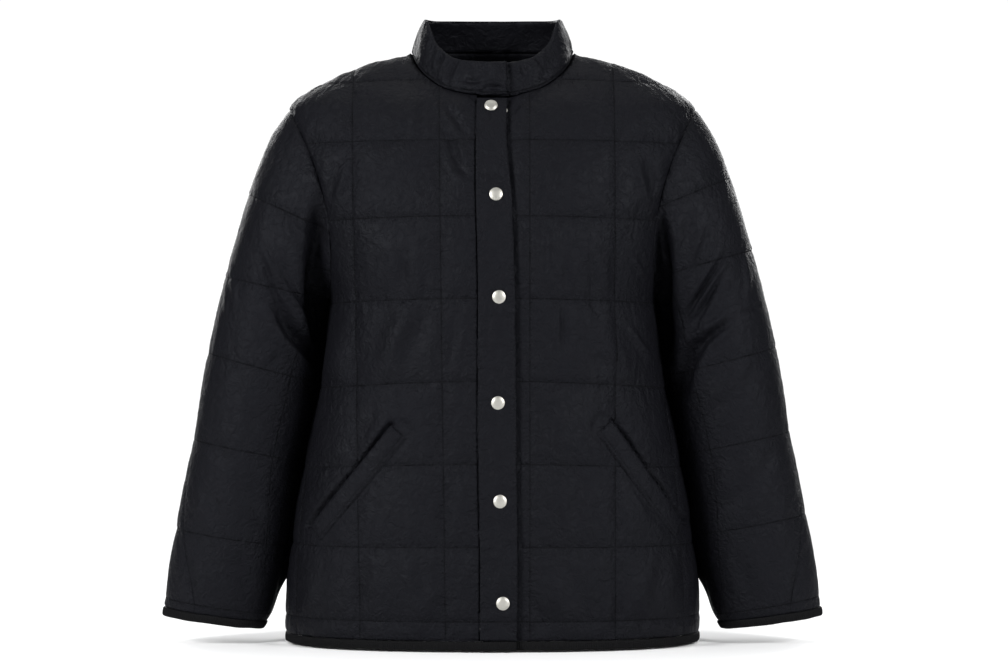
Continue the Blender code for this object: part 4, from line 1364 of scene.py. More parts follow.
def settle(
    piece: bpy.types.Object, material: bpy.types.Material, nodes: Sequence[str] = ()
) -> None:
    """Dresses a piece and ties it to the frame.

    Args:
        piece: The object.
        material: Its finish.
        nodes: The solids that it stands for.
    """
    piece.data.materials.append(material)
    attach(piece, "root")
    if nodes:
        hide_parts(*nodes)
    LOG.info("%s: %d faces", piece.name, len(piece.data.polygons))


def declare_cloth(panel: ClothPanel) -> None:
    """Works out the flat cut of a cloth piece; the sizes are not used."""
    width, length, area = panel.flat_size()


# The jacket's pieces


@dataclass(frozen=True)
class Opening:
    """How the two fronts and the band lap: the band's lift, and how deep the lower layer sinks."""

    lift: float = 3.0
    sink: float = 4.2
    under_edge: float = -10.0
    ease_over: float = 26.0
    lead: float = 0.1

    def under_shift(self, points: Array) -> Array:
        """How far the lower layer lies below the plain surface."""
        past_band = points[..., 0] - band_edge("free", points[..., 2])
        return -self.sink * (1 - ease(past_band / self.ease_over + self.lead))


OPENING = Opening()


@dataclass(frozen=True)
class WeltPlace:
    """A slanted pocket: the middle of its upper and of its lower end, across and up."""

    top: Point
    low: Point


WELTS = {
    Hand.RIGHT: WeltPlace((-103.4, -427.8), (-197.4, -542.5)),
    Hand.LEFT: WeltPlace((124.3, -422.5), (209.0, -539.8)),
}
WELT_WIDTH = 23.0


def welt_frame(points: Array, welt: WeltPlace) -> tuple[Array, Array, Array]:
    """Place of points beside a welt: share of its length, distance beyond its ends, and signed side.

    The side is positive towards the opening, which is the upper edge, nearer the side seam.
    """
    start = np.array(welt.top)
    way = np.array(welt.low) - start
    length = np.hypot(*way)
    offset = points[..., (0, 2)] - start
    along = offset @ way / length
    side = offset @ np.array((-way[1], way[0])) / length * np.sign(welt.top[0])
    beyond = np.maximum(np.maximum(-along, along - length), 0)
    return np.clip(along / length, 0, 1), beyond, side


def welt_clearance(points: Array, soft: float) -> Array:
    """0 under a pocket's welt and 1 beside it, so that the padding lies flat below."""
    clear = np.ones(points.shape[:-1])
    for welt in WELTS.values():
        _, beyond, side = welt_frame(points, welt)
        clear = np.minimum(clear, ease((np.hypot(beyond, side) - WELT_WIDTH / 2) / soft))
    return clear


# The large and the small creases of the fronts, as the photo shows them
FRONT_CREASES = {
    Hand.RIGHT: (
        Crease(((-87, -285), (-118, -372)), 3.6, 14),
        Crease(((-70, -285), (-108, -362)), -3.0, 11),
        Crease(((-165, -324), (-182, -372)), 3.0, 12),
        Crease(((-60, -590), (-84, -650)), 2.4, 12),
        Crease(((-56, -57), (-42, -76), (-25, -101)), -2.4, 4.5),
        Crease(((-50, -86), (-44, -111), (-36, -131), (-21, -149)), -3.0, 5),
        Crease(((-77, -50), (-80, -101)), -1.4, 5),
        Crease(((-68, -53), (-69, -98)), -1.1, 3.5),
        Crease(((-97, -219), (-102, -281)), -1.9, 7),
        Crease(((-73, -248), (-75, -276)), -1.2, 4),
        Crease(((-149, -268), (-156, -284)), -1.0, 3.5),
        Crease(((-172, -120), (-186, -168)), -1.6, 6),
        Crease(((-160, -128), (-178, -180)), 1.3, 5),
        Crease(((-128, -392), (-150, -446)), -1.6, 7),
        Crease(((-40, -300), (-47, -362)), -1.3, 5),
        Crease(((-44, -480), (-58, -548)), -1.5, 7),
        Crease(((-95, -565), (-82, -628)), 1.4, 7),
        Crease(((-140, -570), (-150, -630)), -1.5, 7),
        Crease(((-200, -585), (-206, -640)), 1.5, 7),
    ),
    Hand.LEFT: (
        Crease(((118, -300), (150, -372)), 2.6, 13),
        Crease(((60, -585), (88, -650)), 2.6, 13),
        Crease(((19, -72), (28, -62), (40, -52)), -1.8, 4),
        Crease(((59, -199), (56, -266)), -1.1, 4.5),
        Crease(((81, -234), (83, -270)), -1.3, 4.5),
        Crease(((106, -231), (116, -271)), -1.4, 5),
        Crease(((135, -225), (134, -272)), -1.0, 4),
        Crease(((155, -232), (163, -243), (172, -257)), 1.9, 3.2),
        Crease(((152, -310), (165, -329), (180, -349)), 2.1, 3.6),
        Crease(((109, -279), (121, -298)), -1.2, 4.5),
        Crease(((73, -280), (72, -342)), 1.0, 3.5),
        Crease(((79, -281), (78, -338)), -1.0, 3.5),
        Crease(((172, -116), (184, -165)), -1.7, 6),
        Crease(((158, -120), (176, -178)), 1.3, 5),
        Crease(((66, -395), (60, -450)), -1.4, 6),
        Crease(((100, -470), (92, -540)), -1.5, 7),
        Crease(((190, -568), (178, -640)), -1.7, 8),
        Crease(((134, -602), (124, -650)), 1.8, 6),
        Crease(((46, -610), (58, -650)), -1.6, 5),
        Crease(((160, -615), (170, -650)), -1.5, 5),
    ),
}

# Similar ones for the back, which doesn't show
BACK_CREASES = (
    Crease(((-90, -300), (-130, -390)), 3.6, 15),
    Crease(((90, -290), (134, -385)), 3.6, 15),
    Crease(((-30, -590), (-38, -655)), 2.6, 14),
    Crease(((70, -585), (80, -655)), 2.6, 14),
    Crease(((-150, -120), (-168, -190)), -1.8, 7),
    Crease(((148, -125), (170, -198)), -1.8, 7),
    Crease(((-60, -60), (-52, -105)), -1.4, 6),
    Crease(((58, -58), (46, -110)), -1.3, 6),
    Crease(((-118, -300), (-150, -366)), -1.8, 7),
    Crease(((118, -292), (156, -360)), -1.8, 7),
    Crease(((-20, -200), (-26, -270)), -1.1, 6),
    Crease(((34, -212), (30, -276)), -1.2, 6),
    Crease(((-170, -420), (-186, -500)), 1.7, 8),
    Crease(((168, -430), (182, -498)), 1.7, 8),
    Crease(((-80, -480), (-70, -548)), -1.4, 7),
    Crease(((96, -470), (88, -545)), -1.4, 7),
    Crease(((-140, -590), (-150, -652)), -1.7, 7),
    Crease(((150, -585), (146, -652)), -1.7, 7),
)

# Scale of the depths in both tables
BODY_CREASE_DEPTH = 1.5


def body_lines(panel: ClothPanel, half: Half, uprights: Sequence[Array]) -> list[StitchLine]:
    """Quilting lines of a body panel.

    Args:
        panel: The panel, in its place.
        half: Front or back.
        uprights: Signed distances from the upright lines.

    Returns:
        All level and upright lines.
    """
    across, height = panel.points[..., 0], panel.points[..., 2]
    share = (across / FORM.half_width(height, half)) ** 2
    steep = np.maximum(np.sqrt(1 - panel.normals[..., 2] ** 2), 0.3)
    lines = []
    for line in (*BODY_LINES, SHOULDER_LINE):
        away = (height + line.side_drop * share - line.height) / steep
        lines.append(StitchLine(away, panel.across, True))
    lines += [StitchLine(away, panel.along, False) for away in uprights]
    return lines


def quilt(
    panel: ClothPanel, quilting: Quilting, clear: Array, seed: int, strength: Array | float = 1.0
) -> None:
    """Adds padding, sewn grooves, puckers and soft unevenness to a panel.

    Args:
        panel: The panel, whose lines are known.
        quilting: Sizes of the padding.
        clear: 0 where the cloth must lie flat under another piece, 1 elsewhere.
        seed: Chooses the puckers.
        strength: Scale of the puckers.
    """
    border = panel.border()
    relief = quilting.height(panel.lines, panel.shape) * quilting.rise(border, quilting.edge_reach)
    puckers = np.zeros(panel.shape)
    for number, line in enumerate(panel.lines):
        share = 1.0 if line.level else quilting.upright_puckers
        puckers += gathers(line.along + 37.0 * number, line.away, seed + number) * share
    puckers += crumple(panel.across, panel.along, seed + 71)
    puckers *= ease(border / quilting.edge_flat)
    panel.relief += (relief + strength * puckers) * clear
    sewn = quilting.pull(panel.lines, panel.shape) * np.minimum(clear * 3, 1)
    panel.pull = np.maximum(sewn, quilting.edge_pull * np.exp(-border / quilting.pull_reach))


def edge_gathers(away: Array, along: Array, seed: int, strength: float) -> Array:
    """Height of the puckers that a seam or an edge draws into the cloth beside it."""
    return strength * gathers(along, np.abs(away) + 0.01, seed) * ease(np.abs(away) / 3.0)


class Front:
    """One front: padded squares from the opening to the side seam, and below the neck."""

    plan = PanelPlan(15, 54, 66, (30, 60, 84))
    under_welt = 0.15
    welt_ease = 7.0
    band_ease = 12.0
    mouth_depth = 4.6
    mouth_offset = 1.0
    mouth_half_width = 2.6
    mouth_end = 3.0

    def __init__(self, hand: Hand, quilting: Quilting) -> None:
        """Lays out the front of one hand."""
        self.hand = hand
        self.quilting = quilting
        self.panel = self.lay_out()

    def inner_edge(self, height: float) -> float:
        """Place of the opening's edge, on the half that the hand names."""
        if self.hand is Hand.LEFT:
            return OPENING.under_edge
        return -float(band_edge("seam", np.array(height)))

    def lay_out(self) -> ClothPanel:
        """Makes the panel with its lines, padding and creases."""
        grain = FRONT_GRAIN[self.hand]
        grid = PanelGrid(Half.FRONT, self.inner_edge, grain, self.plan).points()
        normals = FORM.normal(grid, Half.FRONT)
        panel = ClothPanel(mirrored(grid, self.hand), mirrored(normals, self.hand))
        flat = np.maximum(np.abs(normals[..., 1]) / np.hypot(normals[..., 0], normals[..., 1]), 0.3)
        uprights = [(grid[..., 0] - grain_across(line, grid[..., 2])) / flat for line in grain]
        column = self.plan.columns[0] + self.plan.columns[1]
        uprights.append(panel.across - panel.across[:, column : column + 1] - QUILT_PITCH)
        panel.lines = body_lines(panel, Half.FRONT, uprights)
        world = panel.points
        clear = self.under_welt + (1 - self.under_welt) * welt_clearance(world, self.welt_ease)
        if self.hand is Hand.LEFT:
            past_band = world[..., 0] - band_edge("free", world[..., 2])
            clear = clear * ease(past_band / self.band_ease)
            panel.base += OPENING.under_shift(world)
        quilt(panel, self.quilting, clear, 100 + 300 * (self.hand is Hand.LEFT))
        folds = BODY_CREASE_DEPTH * crease_height(world, FRONT_CREASES[self.hand]) * clear
        panel.base += folds * self.quilting.rise(panel.border(), self.quilting.crease_end)
        panel.relief += self.edge_puckers(panel) * clear
        self.press_pocket(panel)
        return panel

    def edge_puckers(self, panel: ClothPanel) -> Array:
        """Puckers along the side and armhole, the shoulder and neck, the hem and the opening."""
        seed = 900 + 10 * int(self.hand)
        height = edge_gathers(panel.to_far_side(), panel.along, seed, 0.8)
        height += edge_gathers(panel.to_top(), panel.across, seed + 1, 0.9)
        height += edge_gathers(panel.along, panel.across, seed + 2, 0.9)
        height += edge_gathers(panel.across, panel.along, seed + 3, 0.5)
        return height

    def press_pocket(self, panel: ClothPanel) -> None:
        """Sinks the cloth beside the pocket's opening and puckers it around the welt."""
        welt = WELTS[self.hand]
        share, beyond, side = welt_frame(panel.points, welt)
        length = float(np.hypot(*(np.array(welt.low) - np.array(welt.top))))
        from_mouth = side - WELT_WIDTH / 2 - self.mouth_offset
        mouth = np.exp(-((from_mouth / self.mouth_half_width) ** 2) - (beyond / self.mouth_end) ** 2)
        panel.base -= self.mouth_depth * mouth
        panel.pull = np.maximum(panel.pull, mouth)
        round_welt = np.hypot(beyond, np.maximum(np.abs(side) - WELT_WIDTH / 2, 0))
        pull = gathers(share * length + side * 0.2, round_welt + 0.5, 777 + int(self.hand))
        panel.relief += pull * ease(round_welt / 4.0)

    def dress(self, looks: Wardrobe) -> bpy.types.Object:
        """Builds the piece."""
        word = self.hand.word
        piece = self.panel.build(f"quilted_front_{word}")
        settle(piece, looks.shell, [f"front_{word}"])
        declare_cloth(self.panel)
        return piece


class Back:
    """The back in one piece, from side seam to side seam."""

    plan = PanelPlan(9, 36, 48, (45, 39, 45))

    def __init__(self, quilting: Quilting) -> None:
        """Lays out the back."""
        self.quilting = quilting
        self.panel = self.lay_out()

    def lay_out(self) -> ClothPanel:
        """Makes the panel with its lines, padding and creases."""
        grid = PanelGrid(Half.BACK, lambda height: 0.0, BACK_GRAIN, self.plan).points()
        normals = FORM.normal(grid, Half.BACK)
        whole = np.concatenate((mirrored(grid[:, :0:-1], -1), grid), axis=1)
        turned = np.concatenate((mirrored(normals[:, :0:-1], -1), normals), axis=1)
        panel = ClothPanel(whole, turned)
        x, z = whole[..., 0], whole[..., 2]
        flat = np.maximum(np.abs(turned[..., 1]) / np.hypot(turned[..., 0], turned[..., 1]), 0.3)
        middle = sum(self.plan.columns)
        outer_line = middle + self.plan.columns[0] + self.plan.columns[1]
        from_middle = panel.across - panel.across[:, middle : middle + 1]
        reach = from_middle[:, outer_line : outer_line + 1] + QUILT_PITCH
        uprights = [x / flat]
        for sign in (-1, 1):
            uprights += [(x - sign * grain_across(line, z)) / flat for line in BACK_GRAIN]
            uprights.append(from_middle - sign * reach)
        panel.lines = body_lines(panel, Half.BACK, uprights)
        quilt(panel, self.quilting, np.ones(panel.shape), 1300)
        folds = BODY_CREASE_DEPTH * crease_height(whole, BACK_CREASES)
        panel.base += folds * self.quilting.rise(panel.border(), self.quilting.crease_end)
        panel.relief += edge_gathers(panel.across, panel.along, 1401, 0.8)
        panel.relief += edge_gathers(panel.to_far_side(), panel.along, 1402, 0.8)
        panel.relief += edge_gathers(panel.along, panel.across, 1403, 0.9)
        panel.relief += edge_gathers(panel.to_top(), panel.across, 1404, 0.9)
        return panel

    def dress(self, looks: Wardrobe) -> bpy.types.Object:
        """Builds the piece."""
        piece = self.panel.build("quilted_back")
        settle(piece, looks.shell, ["back"])
        declare_cloth(self.panel)
        return piece


class Ring(NamedTuple):
    """One ring of the sleeve, between its outer and its inner point."""

    outer_across: float
    outer_up: float
    inner_across: float
    inner_up: float
    front_depth: float
    back_depth: float
    forward: float
    hollow: float
    tuck: float


SLEEVE_RINGS = (
    Ring(233, -62, 186, -274, 80, 88, 0, 1.0, 0),
    Ring(253, -92, 190.5, -278, 79, 86, 0, 0.6, 5),
    Ring(273, -140, 192.5, -282.5, 77, 83, 0, 0.2, 14),
    Ring(292, -202, 194, -289, 75, 79, 1, 0.02, 16),
    Ring(307, -256, 195.5, -297, 72, 75, 2, 0, 17),
    Ring(326, -340, 203.5, -373.5, 69, 70, 4, 0, 16.5),
    Ring(342, -439, 221.5, -463, 65, 66, 5, 0, 15.5),
    Ring(361.5, -541, 236, -560.5, 59, 60, 8, 0, 12),
    Ring(374, -620, 253.5, -637, 49, 50, 12, 0, 4),
    Ring(375.5, -630, 258.5, -646.5, 46, 47, 13, 0, 2),
)


class SleeveLine(NamedTuple):
    """A line of quilting round the sleeve: its outer point, and how much it falls towards the body."""

    across: float
    up: float
    slope: float


SLEEVE_LINES = {
    Hand.RIGHT: (
        SleeveLine(277, -160, 0.46),
        SleeveLine(307, -253, 0.22),
        SleeveLine(326, -340, 0.27),
        SleeveLine(342, -439, 0.20),
        SleeveLine(361.5, -541, 0.155),
        SleeveLine(374, -620, 0.15),
    ),
    Hand.LEFT: (
        SleeveLine(270, -141, 0.42),
        SleeveLine(299, -222, 0.28),
        SleeveLine(324, -334, 0.26),
        SleeveLine(340, -430, 0.21),
        SleeveLine(358, -524, 0.19),
        SleeveLine(374, -618, 0.17),
    ),
}

SLEEVE_CREASES = {
    Hand.RIGHT: (
        Crease(((-258, -230), (-250, -262), (-236, -296)), -3.0, 3.6),
        Crease(((-247, -278), (-230, -312), (-212, -334), (-194, -356)), -12.0, 7.0, 3.0),
        Crease(((-262, -216), (-240, -257), (-219, -300), (-194, -337)), 3.6, 5, 2.0, 0.8),
        Crease(((-252, -240), (-232, -280), (-207, -320)), -1.5, 2.3),
        Crease(((-240, -238), (-223, -274), (-200, -316)), -1.3, 2.1),
        Crease(((-228, -262), (-212, -294), (-196, -322)), -1.2, 2.1),
        Crease(((-300, -470), (-250, -520)), -2.4, 11),
        Crease(((-246, -330), (-262, -352)), 1.6, 7),
        Crease(((-214, -172), (-224, -196), (-200, -210)), -3.2, 5),
        Crease(((-276, -403), (-263, -429)), -2.0, 6),
        Crease(((-286, -372), (-292, -400)), -1.2, 5),
        Crease(((-297, -236), (-294, -282)), 1.6, 2.8),
        Crease(((-290, -250), (-291, -294)), 1.3, 2.8),
        Crease(((-303, -262), (-300, -300)), 1.2, 2.6),
        Crease(((-252, -110), (-262, -150)), -1.2, 7),
        Crease(((-236, -170), (-244, -214)), -2.0, 8),
        Crease(((-222, -190), (-214, -240)), -1.8, 6),
        Crease(((-318, -440), (-296, -470)), -1.4, 7),
        Crease(((-336, -500), (-310, -560)), 1.8, 9),
        Crease(((-290, -560), (-276, -618)), -2.0, 9),
        Crease(((-345, -575), (-338, -618)), -1.4, 6),
        Crease(((-262, -480), (-252, -540)), 1.8, 8),
    ),
    Hand.LEFT: (
        Crease(((244, -194), (234, -228), (224, -259)), -2.4, 3.2),
        Crease(((263, -227), (241, -263), (218, -302)), -5.4, 3.4, 2.5),
        Crease(((260, -239), (241, -272), (224, -305)), 2.6, 3.2),
        Crease(((259, -248), (242, -282), (226, -311)), -4.6, 4.2, 2.5),
        Crease(((267, -294), (242, -310), (218, -328)), 2.6, 4.5, 2.0, 0.8),
        Crease(((268, -304), (246, -321), (228, -337)), -6.5, 4.6, 2.5),
        Crease(((240, -324), (226, -341), (217, -366), (212, -392)), -13.0, 8.5, 3.0),
        Crease(((278, -297), (306, -285)), -1.6, 3, 2.0, 0.6),
        Crease(((287, -222), (287, -284)), 1.7, 3),
        Crease(((300, -480), (250, -525)), -2.4, 11),
        Crease(((293, -232), (289, -280)), 1.3, 3),
        Crease(((300, -330), (280, -360), (252, -388)), 2.0, 8),
        Crease(((262, -388), (244, -420)), -1.8, 7),
        Crease(((246, -120), (258, -166)), -1.3, 7),
        Crease(((226, -176), (216, -228)), -1.9, 6),
        Crease(((318, -452), (296, -486)), -1.5, 7),
        Crease(((332, -500), (322, -566)), 1.8, 9),
        Crease(((282, -570), (292, -620)), -1.9, 8),
        Crease(((350, -580), (342, -622)), -1.4, 6),
        Crease(((268, -440), (258, -500)), 1.6, 7),
    ),
}


# The deep trough in which each sleeve meets the body
ARMPIT_FOLDS = {
    Hand.RIGHT: Crease(
        ((-192, -170), (-197, -203), (-200, -250), (-201, -297), (-195, -345)), -20.0, 10.5, 3.0
    ),
    Hand.LEFT: Crease(((184, -180), (190, -212), (192, -257), (193, -291), (199, -345)), -20.0, 10, 3.0),
}


class UprightTurn(NamedTuple):
    """A line of quilting down the sleeve: its place round the arm, in degrees, at three heights."""

    top: float
    elbow: float
    cuff: float


SLEEVE_UPRIGHTS = (
    UprightTurn(2, 12, 68),
    UprightTurn(152, 124, 143),
    UprightTurn(215, 220, 222),
    UprightTurn(285, 302, 310),
)


class Sleeve:
    """One sleeve: a padded tube from the dropped shoulder to the cuff."""

    columns = 210
    rows = 300
    elbow_share = 0.7
    inner_reach = 60.0
    seam_lap = 2.4
    seam_sink = 1.5
    rear_fold = 15.0
    rear_fold_turn = 222.0
    rear_fold_spread = 24.0
    rear_fold_start = 5.9
    rear_fold_rise = 0.9
    rear_fold_end = 7.2
    rear_fold_fall = 0.5

    def __init__(self, hand: Hand, quilting: Quilting) -> None:
        """Lays out the sleeve of one hand."""
        self.hand = hand
        self.quilting = quilting
        self.panel = self.lay_out()

    def values(self, name: str, station: Array) -> Array:
        """One column of the rings at each station, counted in rings from the armhole."""
        column = np.array([getattr(ring, name) for ring in SLEEVE_RINGS], float)
        return smooth_through(np.arange(len(SLEEVE_RINGS)), column, station)

    def surface(self, turn: Array, station: Array) -> Array:
        """Point of the sleeve: an oval ring, from its outer edge (0) over the front to its inside (pi).

        x = middle + half width * cos(turn) - hollow - tuck, y = -depth * sin(turn) - forward and
        z = middle + half height * cos(turn).

        Args:
            turn: Angle round the ring.
            station: Place along the sleeve, in rings.

        Returns:
            Points in the wearer's left half.
        """
        outer_across = self.values("outer_across", station)
        inner_across = self.values("inner_across", station)
        outer_up, inner_up = self.values("outer_up", station), self.values("inner_up", station)
        cosine, sine = np.cos(turn), np.sin(turn)
        at_front = sine > 0
        depth = np.where(at_front, self.values("front_depth", station), self.values("back_depth", station))
        hollows = FORM.armhole_hollow
        hollow = np.where(at_front, hollows[Half.FRONT], hollows[Half.BACK]) * self.values("hollow", station)
        tuck = self.values("tuck", station) * np.maximum(-sine, 0) * np.maximum(-cosine, 0) * 2
        across = (outer_across + inner_across) / 2 + (outer_across - inner_across) / 2 * cosine
        height = (outer_up + inner_up) / 2 + (outer_up - inner_up) / 2 * cosine
        along = -depth * sine - self.values("forward", station)
        return np.stack((across - hollow * sine**2 - tuck, along, height), axis=-1)

    def normal(self, turn: Array, station: Array) -> Array:
        """Outward direction, from the surface's slopes round and along."""
        last = len(SLEEVE_RINGS) - 1
        low, high = np.clip(station - 1e-3, 0, last), np.clip(station + 1e-3, 0, last)
        round_way = self.surface(turn + 1e-3, station) - self.surface(turn - 1e-3, station)
        return unit(np.cross(round_way, self.surface(turn, high) - self.surface(turn, low)))

    def stations(self, count: int) -> Array:
        """Stations of rows that lie evenly down the sleeve's outer and front sides, taken together."""
        dense = np.linspace(0, len(SLEEVE_RINGS) - 1, 900)
        outer = self.surface(np.zeros(dense.shape), dense)
        front = self.surface(np.full(dense.shape, np.pi / 2), dense)
        steps = sum(np.linalg.norm(np.diff(side, axis=0), axis=1) for side in (outer, front))
        down = np.concatenate(([0.0], np.cumsum(steps)))
        return np.interp(np.linspace(0, down[-1], count + 1), down, dense)

    def lay_out(self) -> ClothPanel:
        """Makes the panel with its lines, padding and creases."""
        station = np.broadcast_to(self.stations(self.rows)[:, None], (self.rows + 1, self.columns))
        turn = np.pi + np.linspace(0, 2 * np.pi, self.columns, endpoint=False)
        turn = np.broadcast_to(turn[None, :], station.shape)
        grid = self.surface(turn, station)
        grid[0] -= unit(grid[1] - grid[0]) * self.seam_lap
        normals = self.normal(turn, station)
        panel = ClothPanel(mirrored(grid, self.hand), mirrored(normals, self.hand), closed=True)
        panel.base[0] -= self.seam_sink
        off_fold = (np.degrees(turn) - self.rear_fold_turn + 180) % 360 - 180
        begun = ease((station - self.rear_fold_start) / self.rear_fold_rise)
        lower_arm = begun * (1 - ease((station - self.rear_fold_end) / self.rear_fold_fall))
        panel.base += self.rear_fold * lower_arm * np.exp(-((off_fold / self.rear_fold_spread) ** 2))
        radius = np.linalg.norm(grid - grid.mean(axis=1, keepdims=True), axis=-1)
        self.draw_lines(panel, grid, turn, radius)
        self.add_relief(panel, grid, turn, radius)
        return panel

    def draw_lines(self, panel: ClothPanel, grid: Array, turn: Array, radius: Array) -> None:
        """Lays the quilting lines round the sleeve and down it, and counts those down it.

        Args:
            panel: The panel that gets them.
            grid: Its points in the wearer's left half.
            turn: Angle of each point round its ring.
            radius: Distance of each from its ring's middle.
        """
        lines = []
        for line in SLEEVE_LINES[self.hand]:
            tilt = np.hypot(1.0, line.slope)
            away = (grid[..., 2] - line.up + line.slope * (line.across - grid[..., 0])) / tilt
            lines.append(StitchLine(away, panel.across, True))
        shoulder, wrist = SLEEVE_RINGS[0].outer_up, SLEEVE_RINGS[-1].outer_up
        share = np.clip((grid[..., 2] - shoulder) / (wrist - shoulder), 0, 1)
        knots = np.array((0.0, self.elbow_share, 1.0))
        courses = [np.radians(smooth_through(knots, np.array(line), share)) for line in SLEEVE_UPRIGHTS]
        onward = (turn - courses[0]) % (2 * np.pi)
        count = np.zeros(panel.shape)
        for lower, upper in zip(courses, courses[1:] + [courses[0] + 2 * np.pi]):
            turned = (turn - lower + np.pi) % (2 * np.pi) - np.pi
            lines.append(StitchLine(turned * radius, panel.along, False))
            count += np.clip((onward - (lower - courses[0])) / (upper - lower), 0, 1)
        panel.lines = lines
        panel.upright_count = np.where(turn - courses[0] >= 2 * np.pi, count + len(courses), count)
        panel.turns = float(len(courses))

    def add_relief(self, panel: ClothPanel, grid: Array, turn: Array, radius: Array) -> None:
        """Adds padding, puckers and creases, which die away towards the underarm.

        Args:
            panel: The panel, whose lines are known.
            grid: Its points in the wearer's left half.
            turn: Angle of each point round its ring.
            radius: Distance of each from its ring's middle.
        """
        underarm = np.abs(turn - np.pi - 2 * np.pi * (turn > 2 * np.pi)) * radius
        calm = self.quilting.rise(underarm, self.inner_reach)
        facing_body = ease((np.cos(turn) + 0.75) / 0.5)
        row_step = np.gradient(panel.along, axis=0)
        spread = 0.25 + 0.75 * ease(row_step / (0.75 * row_step.max()))
        quilt(panel, self.quilting, calm, 2000 + 400 * (self.hand is Hand.LEFT), spread)
        panel.relief *= 0.45 + 0.55 * facing_body
        facing = np.where(grid[..., 1] < 10, 1.0, 0.85)
        folds = crease_height(panel.points, SLEEVE_CREASES[self.hand]) * facing * calm
        ends = np.minimum(panel.along, panel.to_top())
        panel.base += folds * self.quilting.rise(ends, 22.0)
        armpit = crease_height(panel.points, [ARMPIT_FOLDS[self.hand]]) * (grid[..., 1] < 0)
        panel.base += armpit * self.quilting.rise(ends, 9.0) * self.quilting.rise(underarm, 30.0)
        seed = 2900 + 10 * int(self.hand)
        edges = edge_gathers(panel.along, panel.across, seed, 1.0)
        edges += edge_gathers(panel.to_top(), panel.across, seed + 1, 1.1)
        panel.relief += edges * calm * spread

    def dress(self, looks: Wardrobe) -> bpy.types.Object:
        """Builds the piece."""
        word = self.hand.word
        piece = self.panel.build(f"quilted_sleeve_{word}")
        settle(piece, looks.shell, [f"sleeve_{word}"])
        declare_cloth(self.panel)
        return piece


@dataclass(frozen=True)
class EdgeTape:
    """A ribbed binding: height, how far it stands out and in, and its ribs."""

    height: float = 10.2
    out: float = 1.5
    inwards: float = 4.2
    corners: int = 12
    squareness: float = 3.2
    rib_pitch: float = 2.6
    rib_depth: float = 0.42
    waviness: float = 0.35
    step: float = 0.62

    def rings(self, centres: Array, out: Array, up: Array, seed: int) -> Array:
        """Cross sections along a line of centres.

        The section is |a|^n + |b|^n = 1 with n the squareness. Ribs add depth * cos(2 pi s / pitch)
        to its outward side, and slow uneven waves move it in and out.

        Args:
            centres: Middle of the binding along its path.
            out: Outward direction at each.
            up: Upward direction at each.
            seed: Chooses the waves.

        Returns:
            Points, centre by corner by axis.
        """
        turns = np.arange(self.corners) * 2 * np.pi / self.corners
        power = 2 / self.squareness
        thick = np.sign(np.cos(turns)) * np.abs(np.cos(turns)) ** power * (self.out + self.inwards) / 2
        tall = np.sign(np.sin(turns)) * np.abs(np.sin(turns)) ** power * self.height / 2
        along = path_lengths(centres)
        phase = 2 * np.pi * (along + 0.5 * uneven_wave(along, 40, seed)) / self.rib_pitch
        rib = self.rib_depth * np.cos(phase)[:, None] * np.clip(np.abs(np.cos(turns)) * 1.6, 0, 1)[None, :]
        wave = self.waviness * uneven_wave(along, 26, seed + 1)
        lift = self.waviness * uneven_wave(along, 44, seed + 2)
        sideways = thick[None, :] + rib * np.sign(np.cos(turns))[None, :] + wave[:, None]
        upwards = tall[None, :] + lift[:, None]
        return centres[:, None] + out[:, None] * sideways[..., None] + up[:, None] * upwards[..., None]


def tube(name: str, rings: Array, closed: bool) -> bpy.types.Object:
    """Makes a closed tube through rings: either a loop, or a stretch with capped ends.

    Args:
        name: The piece's name.
        rings: Points, ring by corner by axis.
        closed: Whether the last ring joins the first.

    Returns:
        The new object.
    """
    count, corners, _ = rings.shape
    index = np.arange(count * corners).reshape(count, corners)
    faces = grid_faces(index, True).tolist()
    if closed:
        faces += grid_faces(np.stack((index[-1], index[0])), True).tolist()
    else:
        faces += [index[0].tolist(), index[-1].tolist()]
    mesh = bpy.data.meshes.new(name)
    mesh.from_pydata((rings.reshape(-1, 3) * METRES).tolist(), [], faces)
    turn_outwards(mesh)
    return link_mesh(name, mesh)


def resampled(path: Array, step: float) -> Array:
    """Points of a path at even steps of about the given length, its last one included."""
    total = float(path_lengths(path)[-1])
    return points_at(path, np.linspace(0, total, round(total / step) + 1))


